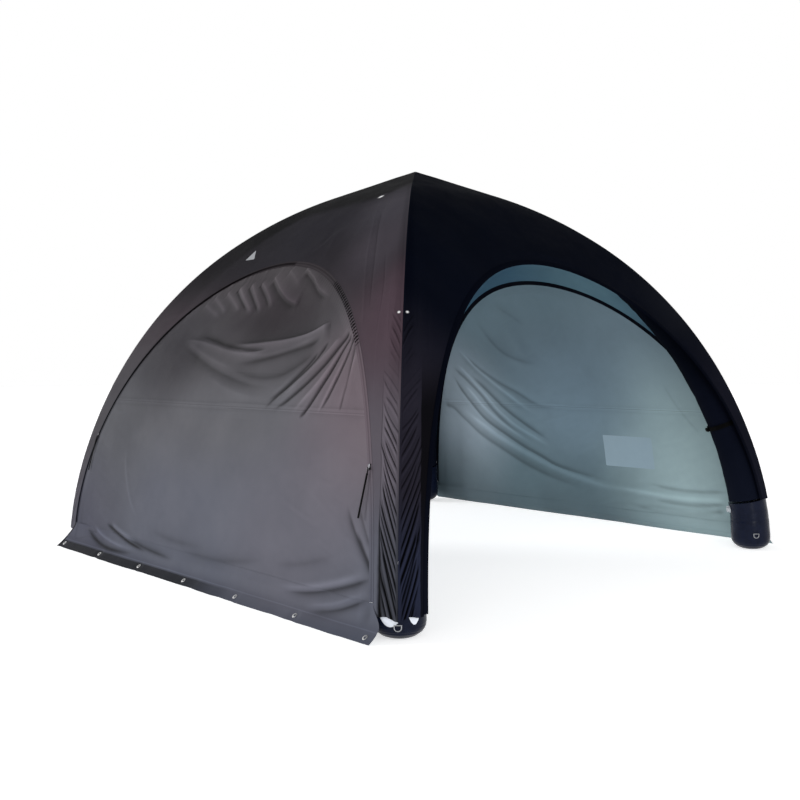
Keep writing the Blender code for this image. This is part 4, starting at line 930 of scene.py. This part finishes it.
ZINC = metal("slider_metal", (0.05, 0.05, 0.055), 0.35)
STEEL = metal("ring_steel", (0.42, 0.43, 0.45), 0.30)
NICKEL = metal("eyelet_nickel", (0.90, 0.90, 0.90), 0.30)
PALE = moulded("valve_plastic", lin(176, 182, 188))

# ------------------------------------------------------------------ roof gores
ARCH_OFF = ZIP_HALF_W + 0.0005
SHEETS = {}


def arch_limits(low_plus, low_minus):
    return math.asin(low_plus / ARCH_TOP_Z), math.pi - math.asin(low_minus / ARCH_TOP_Z)


def gore_grid(face, cols=74):
    _, leg_plus, leg_minus = FACES[face]
    lows = LEGS[leg_plus][3], LEGS[leg_minus][3]
    a, b = arch_limits(*lows)
    close_a, close_b = (620 if leg_plus == "front" else 110), (620 if leg_minus == "front" else 110)
    angle = np.concatenate(
        [np.linspace(a, 0.86, close_a)[:-1], np.linspace(0.86, math.pi - 0.86, 230)[:-1], np.linspace(math.pi - 0.86, b, close_b)]
    )[:, None]
    top = math.pi / 2
    ax, az = (ARCH_HALF_W + ARCH_OFF) * np.cos(angle), (ARCH_TOP_Z + ARCH_OFF) * np.sin(angle)
    first = angle < top
    low_angle = np.where(first, a, b)
    low_run = np.where(first, run_at(lows[0]), run_at(lows[1]))
    share = 1 - np.abs(angle - top) / np.abs(low_angle - top)
    run = low_run + (0.002 - low_run) * share
    _, rz, _, _ = ridge_at(run)
    flat, corner = slice_shape(rz)
    ridge = flat + corner * math.pi / 4 - 0.0003
    rx = ridge * np.where(first, 1.0, -1.0) * np.clip((1 - share) / 0.002, 0, 1)
    u = np.concatenate([[0.0, 0.0035, 0.0070], np.linspace(0.0137, 1, cols - 1)])[None, :]
    s, z = ax + (rx - ax) * u, az + (rz - az) * u
    # the hem of the front leg's sleeve hangs in shallow scallops
    for leg, here in ((leg_plus, first), (leg_minus, ~first)):
        if leg == "front":
            f2, c2 = slice_shape(z)
            t = np.maximum(f2 + c2 * math.pi / 4 - np.abs(s), 0)
            drop = 0.024 * np.cos(np.clip(t / 0.062, 0, 1) * math.pi / 2) ** 1.2 + 0.012 * smooth((t - 0.085) / 0.05)
            z = np.where(here, z - drop * smooth((0.30 - z) / 0.15), z)
    f2, c2 = slice_shape(z)
    return s, z, f2 + c2 * math.pi / 4, u + 0 * s, angle


for face, (degrees, leg_plus, leg_minus) in FACES.items():
    s, z, ridge_sigma, u, angle = gore_grid(face)
    base = skin(s, z)
    normal = skin_normal(s, z)
    relief, tone = gore_relief(face, s, z, ridge_sigma, u)
    # the free edge round the arch stays with its tape
    relief = relief * smooth(0.25 + u * 9)
    outer = base + normal * relief[..., None]
    outer[..., 2] += crown_lift(outer) * smooth(u * 5)
    inner = outer - normal * CLOTH_T
    # the front face gets the lit copy of the roof fabric, the other faces its shaded copy: painted shade
    out_m = ROOF_FRONT if face == "front" else ROOF_SHADED
    tab = None
    if face == "front":
        # a small pale three-cornered tab high on the left
        a, b = s + 0.655, z - 2.560
        tab = np.minimum(np.minimum(b + 0.034, 0.052 - b - 0.9 * a), 0.040 + a * 1.4 - b * 0.6)
    # painted light: the gore's painted tone, with paler crests and darker creases
    piece = shell(
        "roof_cloth_" + face, turned(outer, degrees), turned(inner, degrees), [out_m, ROOF_INNER],
        tone * painted_crest_shade(relief, 0.20, 0.30, 6, 0.0016), trim=tab,
    )
    flat_area = area_of(base)
    across = float(np.linalg.norm(np.diff(base, axis=0), axis=-1).sum(0).mean())
    wide = float(np.linalg.norm(np.diff(base, axis=1), axis=-1).sum(1).max())
    SHEETS[piece.name] = (piece, (round(wide, 3), round(across, 3)), round(flat_area, 3))
    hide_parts("roof_gore_" + face)
    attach(piece, "tent")


# ---------------------------------------------------------------------- walls
def wall_grid(rows, cols):
    off = -(ZIP_HALF_W + 0.0005)
    low = math.asin(WALL_LOW_Z / (ARCH_TOP_Z + off))
    angle = np.linspace(low, math.pi / 2 - 0.018, rows)[:, None]
    half = (ARCH_HALF_W + off) * np.cos(angle)
    z = (ARCH_TOP_Z + off) * np.sin(angle)
    s = half * np.linspace(-1, 1, cols)[None, :]
    return s, z + 0 * s


for face in ("front", "back"):
    degrees = FACES[face][0]
    s, z = wall_grid(*((330, 480) if face == "front" else (260, 400)))
    base, normal = skin(s, z), skin_normal(s, z)
    relief, tone = wall_relief(face, s, z)
    low = smooth((z - WALL_LOW_Z) / 0.05)
    outer = base + normal * (relief * low - 0.001)[..., None]
    inner = outer - normal * CLOTH_T
    patch = None
    if face == "back":
        # a plain paler piece sewn to the inner side
        patch = np.minimum(np.minimum(base[..., 0] + 1.03, -0.46 - base[..., 0]), np.minimum(z - 0.60, 0.915 - z))
    # painted highlight on crests and painted shade in creases, with the folds' painted tone
    fine = painted_crest_shade(relief, 0.22, 0.40) if face == "front" else painted_crest_shade(relief, 0.15, 0.25)
    # painted shade: the front wall's inner face gets its outer face's painted shade turned about, the back wall's the
    # same painted shade on both faces
    piece = shell(
        "wall_cloth_" + face, turned(outer, degrees), turned(inner, degrees), [WALL_OUT, INNER_WALL],
        fine * tone, through=0.55 if face == "front" else -1.0, trim=patch,
    )
    wide = 2 * (ARCH_HALF_W - ZIP_HALF_W)
    tall = float(np.linalg.norm(np.diff(base[:, base.shape[1] // 2], axis=0), axis=-1).sum())
    SHEETS[piece.name] = (piece, (round(wide, 3), round(tall, 3)), round(area_of(base), 3))
    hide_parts("wall_" + face)
    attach(piece, "tent")


# --------------------------------------------------------------- ground flaps
def flap_grid(face, cols=440):
    zs = np.linspace(HEM_TOP_Z, HEM_LOW_Z, 44)
    t = (HEM_TOP_Z - zs) / (HEM_TOP_Z - HEM_LOW_Z)
    flat, corner = slice_shape(zs)
    # close to the wall at the top, then flared in one sweep
    ys = -(flat + corner + 0.0006 + 0.0046 * smooth((HEM_TOP_Z - zs) / 0.07)) - HEM_KICK * t**3
    # its ends follow the arch down, then spread
    top = (ARCH_HALF_W + ZIP_HALF_W) * math.cos(math.asin(HEM_TOP_Z / ARCH_TOP_Z))
    half = top + (HEM_HALF_W - top) * smooth((HEM_TOP_Z - zs) / 0.15)
    xs = np.linspace(-1, 1, cols) * half[:, None]
    return xs, np.repeat(ys[:, None], cols, 1), np.repeat(zs[:, None], cols, 1)


for face in ("front", "back"):
    degrees = FACES[face][0]
    x, y, z = flap_grid(face)
    seed = 81 if face == "front" else 101
    low = smooth((HEM_KNEE_Z - z) / 0.05)
    wave = fbm(x * 2.4 + 1, z * 2, seed, 3) * 0.010 * low
    ripple = fbm(x * 9, z * 6, seed + 3, 2) * 0.0016 * low
    relief, drawn_tone = wall_relief(face, x, z)
    relief = np.maximum(relief * smooth((z - 0.05) / 0.10), -0.0025 - 0.0095 * smooth((2.0 - np.abs(x)) / 0.3))
    # flat round the eyelets
    if face == "front":
        hole_z = HEM_KNEE_Z + (HEM_LOW_Z - HEM_KNEE_Z) * EYELET_SHARE
        for k in range(EYELET_COUNT):
            away = np.hypot(x - (k - (EYELET_COUNT - 1) / 2) * EYELET_PITCH, (z - hole_z) * 1.5)
            free = smooth((away - 0.024) / 0.05)
            wave, ripple = wave * free, ripple * free
    out = relief + wave + ripple
    off = np.abs(z - 0.062)
    stitch = 0.0010 * smooth((0.006 - off) / 0.002) - 0.0008 * smooth((0.002 - off) / 0.001)
    grid = np.stack([x, y - out - stitch, z + 0 * x], -1)
    # the top edge thins out where it is sewn to the wall
    inner = grid + np.stack([0 * x, 0.0004 + (CLOTH_T - 0.0004) * smooth((HEM_TOP_Z - z) / 0.03), 0 * x], -1)
    # painted highlight on crests and painted shade in creases; paler along the stitch line
    tone = painted_crest_shade(relief) * (1 + 0.35 * smooth((0.0032 - off) / 0.0015))
    # the edge band lies in the shade towards the far end
    band = smooth((0.058 - z) / 0.010)
    if face == "front":
        end = (np.abs(x[:, :1]) - np.abs(x)) * (x < 0)
        # the wall's painted fold tones carry on into the flap, and the edge band gets its painted shade
        tone = tone * drawn_tone * (1 - 0.82 * band * smooth((0.9 - x) / 1.0))
        # painted shade down the flap's left end
        tone = tone * (1 - 0.85 * smooth((0.030 - end) / 0.010) * (x < 0) * (1 - band))
    piece = shell(
        "flap_cloth_" + face, turned(grid, degrees), turned(inner, degrees), [HEM_CLOTH, INNER_WALL], tone, through=0.3,
    )
    height = HEM_TOP_Z - HEM_KNEE_Z + math.hypot(HEM_KICK, HEM_KNEE_Z - HEM_LOW_Z)
    SHEETS[piece.name] = (piece, (round(height, 3), 2 * HEM_HALF_W), None)
    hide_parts("ground_flap_" + face)
    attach(piece, "tent")


# ------------------------------------------------------- zips and arch trims
def arch_strip(offsets, proud, low_plus, low_minus, rows=420):
    """Grid of points round the arch, at each offset from its line, standing proud by the matching amount."""
    a, b = arch_limits(low_plus, low_minus)
    angle = np.linspace(a, b, rows)[:, None]
    off = np.asarray(offsets, float)[None, :]
    s, z = (ARCH_HALF_W + off) * np.cos(angle), (ARCH_TOP_Z + off) * np.sin(angle)
    return s, z, skin(s, z) + skin_normal(s, z) * np.asarray(proud, float)[None, :, None]


for face, (degrees, leg_plus, leg_minus) in FACES.items():
    closed = face in ("front", "back")
    lows = (HEM_TOP_Z + 0.002,) * 2 if closed else (LEGS[leg_plus][3], LEGS[leg_minus][3])
    if closed:
        # two tapes with a raised coil between them
        offs = [0.0200, 0.0165, 0.0145, 0.0125, 0.0105, 0.0085, 0.0060, 0.0030, 0.0, -0.0030, -0.0060, -0.0085, -0.0105, -0.0125, -0.0145, -0.0165, -0.0200]
        lift = [0.0016, 0.0018, 0.0018, 0.0016, 0.0015, 0.0016, 0.0026, 0.0040, 0.0045, 0.0040, 0.0026, 0.0016, 0.0015, 0.0016, 0.0018, 0.0018, 0.0016]
        under = [-0.0004] * len(offs)
    else:
        offs = [0.0205, 0.010, 0.0, -0.010, -0.0175, -0.0185]
        lift = [0.0018, 0.0026, 0.0026, 0.0024, 0.0010, -0.0010]
        under = [-0.0012] * len(offs)
    rows = 1500 if face == "front" else 420
    _, _, outer = arch_strip(offs, lift, *lows, rows)
    _, _, inner = arch_strip(offs, under, *lows, rows)
    mat = ZIP_TAPE if closed else TRIM_TAPE
    tone = None
    if face == "front":
        # dyed tape with a dark coil: bare up to the top, stitched over beyond it, tacked at the shoulder
        mat = ZIP_CLOTH
        round_arch = np.linspace(*arch_limits(*lows), rows)[:, None]
        off = np.abs(np.asarray(offs))[None, :]
        bare = smooth((round_arch - 1.49) / 0.02)
        tacked = smooth((round_arch - 0.80) / 0.03) * smooth((1.17 - round_arch) / 0.03)
        stitch = smooth((np.sin(round_arch * 2.25 * 2 * math.pi / 0.030) + 0.1) / 0.3) * smooth((0.0205 - off) / 0.002)
        broad = 0.0095 + 0.0060 * smooth((round_arch - 1.57) / 0.6) - 0.0040 * smooth((round_arch - 2.35) / 0.3)
        coil = smooth((broad + 0.0012 - off) / 0.0024)
        covered = 1 - 0.20 * smooth((0.0062 - off) / 0.0012) - 0.10 * smooth((off - 0.0165) / 0.002)
        tone = covered * (1 - bare) * (1 - 0.92 * stitch * tacked) + bare * (0.80 - (0.52 + 0.20 * smooth((round_arch - 1.60) / 0.25)) * coil)
    piece = shell(
        ("zip_tape_" if closed else "arch_trim_tape_") + face, turned(outer, degrees), turned(inner, degrees), [mat, mat], tone,
    )
    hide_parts(("arch_zip_" if closed else "arch_trim_") + face)
    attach(piece, "tent")

# ------------------------------------------------------------ beams and boots


def station(run, inset=0.0):
    r, z, tr, tz = ridge_at(run)
    n = np.array([-tz, tr])
    radius = beam_radius(run)
    centre = np.array([r, z]) - n * (radius + SKIN_GAP + SKIN_T)
    return centre[0], centre[1], math.atan2(n[1], n[0]), radius - inset


def ring_points(r, z, tilt, radius, degrees, sides=64):
    """Circle round the beam; radius may vary round it."""
    a = math.radians(degrees)
    out = np.array([math.cos(a), math.sin(a), 0.0])
    side = np.array([-math.sin(a), math.cos(a), 0.0])
    lean = math.cos(tilt) * out + math.sin(tilt) * np.array([0, 0, 1.0])
    b = np.linspace(0, 2 * math.pi, sides, endpoint=False)[:, None]
    return out * r + np.array([0, 0, z]) + (np.cos(b) * lean + np.sin(b) * side) * np.reshape(radius, (-1, 1))


def boot_centre(z):
    r, low_z, _, _ = station(float(run_at(BOOT_BEND_Z)))
    share = min(max((low_z - z) / low_z, 0.0), 1.0)
    return r + 0.014 * math.sin(share * math.pi / 2)


def tube(name, rings, materials, trim=None):
    """Closed tube through rings, ends filled by fans."""
    g = np.array(rings)
    rows, cols = g.shape[:2]
    idx = np.arange(rows * cols).reshape(rows, cols)
    nxt = np.roll(idx, -1, 1)
    quads = np.stack([idx[:-1], nxt[:-1], nxt[1:], idx[1:]], -1).reshape(-1, 4)
    verts = np.vstack([g.reshape(-1, 3), g[0].mean(0), g[-1].mean(0)])
    faces = [tuple(q) for q in quads]
    n = rows * cols
    for k in range(cols):
        m = (k + 1) % cols
        faces.append((idx[0, m], idx[0, k], n))
        faces.append((idx[-1, k], idx[-1, m], n + 1))
    if trim is not None:
        trim = np.concatenate([np.asarray(trim).reshape(-1), [-1.0, -1.0]])
    d = np.cross(g[0, 1] - g[0, 0], g[1, 0] - g[0, 0])
    if np.dot(d, g[0, 0] - g[0].mean(0)) < 0:
        faces = [f[::-1] for f in faces]
    u = np.concatenate([[0.0], np.cumsum(np.linalg.norm(np.diff(g.mean(1), axis=0), axis=-1))])
    around = np.linspace(0, 1.0, cols, endpoint=False)
    uv = np.stack(np.meshgrid(u, around, indexing="ij"), -1).reshape(-1, 2)
    uv = np.vstack([uv, [[0, 0]], [[u[-1], 0]]])
    return write_mesh(name, verts, faces, np.zeros(len(faces)), uv, np.ones(len(verts)), materials, 60.0, trim)


INSCRIBED = math.cos(math.pi / SIDES)
for number, (leg, (degrees, aim, ring_z, hem)) in enumerate(LEGS.items()):
    rng = 200 + number * 10
    low_run = float(run_at(FOOT_TOP_Z)) - 0.02
    rings = []
    turns = np.linspace(0, 2 * math.pi, 64, endpoint=False)
    for run in np.linspace(HUB_REACH + 0.0004, low_run, 190):
        r, z, tilt, radius = station(run, 0.0045)
        ripple = ridged(run * 7.0 + 0 * turns, np.cos(turns) * 1.2 + 4, rng, 2) * 0.0028
        ripple += noise(run * 2.1 + 0 * turns, np.sin(turns) * 1.3 + 7, rng + 2) * 0.0016
        rings.append(ring_points(r, z, tilt, radius * INSCRIBED - 0.004 + ripple, degrees))
    sleeve = tube("beam_sleeve_" + leg, rings, [SLEEVE])
    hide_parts("air_beam_" + leg)
    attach(sleeve, "tent")

    # the boot, bulged between its bands
    top = station(float(run_at(FOOT_TOP_Z)))
    mid = station(float(run_at(0.340)))
    lean = station(float(run_at(BOOT_BEND_Z)))[2]
    full = BEAM_R_FOOT
    keys = [top, mid]
    for hz, radius, share in ((0.220, full - 0.003, 0.45), (0.100, full, 0.0), (0.066, full - 0.005, 0.0), (0.036, full - 0.022, 0.0), (0.013, full - 0.052, 0.0), (0.0, FOOT_PAD_R, 0.0)):
        keys.append((boot_centre(hz), hz, lean * share, radius))
    keys = np.array(keys)
    stations = np.linspace(0, len(keys) - 1, 90)
    rings = []
    for q in stations:
        r, z, tilt, radius = (np.interp(q, np.arange(len(keys)), keys[:, c]) for c in range(4))
        if 1.0 < q < 4.5:
            i = int(q)
            t = q - i
            p = keys[[max(i - 1, 0), i, min(i + 1, len(keys) - 1), min(i + 2, len(keys) - 1)]]
            r, z, tilt, radius = 0.5 * (2 * p[1] + (p[2] - p[0]) * t + (2 * p[0] - 5 * p[1] + 4 * p[2] - p[3]) * t**2 + (3 * p[1] - p[0] - 3 * p[2] + p[3]) * t**3)
        radius = radius * INSCRIBED
        for height, depth, w in ((0.262, 0.0012, 0.007), (0.082, 0.0016, 0.006)):
            radius -= depth * math.exp(-((z - height) / w) ** 2)
        radius += 0.0006 * smooth(np.array((0.030 - abs(z - 0.225)) / 0.004)).item()
        dent = noise(turns * 3.0 + rng, 0 * turns + z * 22, rng + 4) * 0.0006
        rings.append(ring_points(r, max(z, 0.0), tilt, radius + np.where(z > 0.03, dent, 0), degrees))
    # pale lining that shows under the scalloped hem of the front leg
    g = np.array(rings)
    lining = np.full(g.shape[:2], -1.0)
    if leg == "front":
        across = (np.degrees(turns) + 180) % 360 - 180
        zc = g[..., 2]
        low_a = 0.088 + 0.060 * ((across + 17) / 26) ** 2
        low_b = 0.098 + 0.060 * ((across - 36) / 15) ** 2
        high = 0.180 - 0.062 * np.exp(-(((across - 1) / 8) ** 2))
        lining = np.minimum(zc - np.minimum(low_a, low_b)[None, :], high[None, :] - zc)
    boot = tube("boot_shell_" + leg, rings, [BOOT], lining)
    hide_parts("boot_" + leg)
    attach(boot, "tent")

# ----------------------------------------------------- stage, light and camera


def plain_floor():
    m, nt, bsdf = start("pale_floor")
    coord = nt.nodes.new("ShaderNodeTexCoord")
    spot = noise_tex(nt, coord.outputs["Object"], 0.6, 2.0)
    put(nt, bsdf.inputs["Base Color"], mixed(nt, spot, (0.90, 0.90, 0.90), (0.93, 0.93, 0.93)))
    bsdf.inputs["Roughness"].default_value = 0.9
    bsdf.inputs["Specular IOR Level"].default_value = 0.1
    bsdf.inputs["Emission Color"].default_value = (1, 1, 1, 1)
    bsdf.inputs["Emission Strength"].default_value = 0.62
    mesh = bpy.data.meshes.new("floor")
    mesh.from_pydata([(-60, -60, -0.001), (60, -60, -0.001), (60, 60, -0.001), (-60, 60, -0.001)], [], [(0, 1, 2, 3)])
    mesh.materials.append(m)
    floor = bpy.data.objects.new("floor", mesh)
    bpy.context.scene.collection.objects.link(floor)


plain_floor()
world = bpy.data.worlds.new("studio")
bpy.context.scene.world = world
world.use_nodes = True
wt = world.node_tree
wt.nodes.clear()
wout = wt.nodes.new("ShaderNodeOutputWorld")
wbg = wt.nodes.new("ShaderNodeBackground")
wt.links.new(wbg.outputs[0], wout.inputs[0])
wcoord = wt.nodes.new("ShaderNodeTexCoord")
wsplit = wt.nodes.new("ShaderNodeSeparateXYZ")
wt.links.new(wcoord.outputs["Generated"], wsplit.inputs[0])
wt.links.new(mixed(wt, ranged(wt, wsplit.outputs[2], 0.36, 0.72), (1.0, 1.0, 1.0), (0.14, 0.145, 0.155)), wbg.inputs[0])
wbg.inputs[1].default_value = 1.0


def sun(name, towards, strength, angle, colour=(1, 1, 1)):
    data = bpy.data.lights.new(name, "SUN")
    data.energy, data.angle, data.color = strength, math.radians(angle), colour
    obj = bpy.data.objects.new(name, data)
    obj.rotation_mode = "QUATERNION"
    obj.rotation_quaternion = Vector(towards).to_track_quat("-Z", "Y")
    bpy.context.scene.collection.objects.link(obj)


def softbox(name, place, aim, size, power, colour=(1, 1, 1)):
    data = bpy.data.lights.new(name, "AREA")
    data.shape, data.size, data.size_y = "RECTANGLE", size[0], size[1]
    data.energy, data.color = power, colour
    obj = bpy.data.objects.new(name, data)
    obj.location = place
    obj.rotation_mode = "QUATERNION"
    obj.rotation_quaternion = (Vector(aim) - Vector(place)).to_track_quat("-Z", "Y")
    bpy.context.scene.collection.objects.link(obj)


sun("key", (0.74, 0.60, -0.34), 1.5, 16.0)
sun("fill", (-0.50, 0.62, -0.60), 0.35, 50.0)
softbox("boot_strip", (6.4, -1.0, 1.3), (2.1, 2.1, 0.2), (0.5, 2.6), 60.0)

AZ, DIST, HEIGHT, PITCH, YAW, ROLL, FOCAL_PX = 46.92, 8.966, 1.652, -2.15, 0.895, -0.099, 994.6
az, look, pitch, roll = math.radians(AZ), math.radians(AZ + YAW), math.radians(PITCH), math.radians(ROLL)
eye = Vector((math.sin(az) * DIST, -math.cos(az) * DIST, HEIGHT))
ahead = Vector((-math.sin(look) * math.cos(pitch), math.cos(look) * math.cos(pitch), math.sin(pitch)))
right = ahead.cross(Vector((0, 0, 1))).normalized()
up = right.cross(ahead)
r2, u2 = right * math.cos(roll) + up * math.sin(roll), up * math.cos(roll) - right * math.sin(roll)
cam_data = bpy.data.cameras.new("camera")
cam_data.sensor_width, cam_data.sensor_fit = 36.0, "HORIZONTAL"
cam_data.lens = FOCAL_PX * 36.0 / 800.0
cam_data.clip_end = 300.0
camera = bpy.data.objects.new("camera", cam_data)
camera.matrix_world = Matrix(
    ((r2.x, u2.x, -ahead.x, eye.x), (r2.y, u2.y, -ahead.y, eye.y), (r2.z, u2.z, -ahead.z, eye.z), (0, 0, 0, 1))
)
bpy.context.scene.collection.objects.link(camera)
bpy.context.scene.camera = camera
bpy.context.scene.view_settings.view_transform = "Standard"

# ---------------------------------------------- carried-over nodes' materials
FINISH = {
    "crown_hub": SLEEVE, "tie_band": WEBBING, "zip_slider": ZINC, "zip_pull": WEBBING, "tie_ring": STEEL,
    "valve_housing": PALE, "valve_cap": PALE, "valve_pin": TOOTH, "eyelet": NICKEL,
}
for name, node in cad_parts.items():
    for key, material in FINISH.items():
        if name.startswith(key):
            if not node.material_slots:
                node.data.materials.append(material)
            for slot in node.material_slots:
                slot.material = material

# ------------------------------------------------------------ sheets of cloth, looped over with nothing done, end
for name, (piece, flat, area) in SHEETS.items():
    kind, face = name.split("_")[0], name.split("_")[-1]
    if kind == "roof":
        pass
    elif kind == "wall":
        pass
    else:
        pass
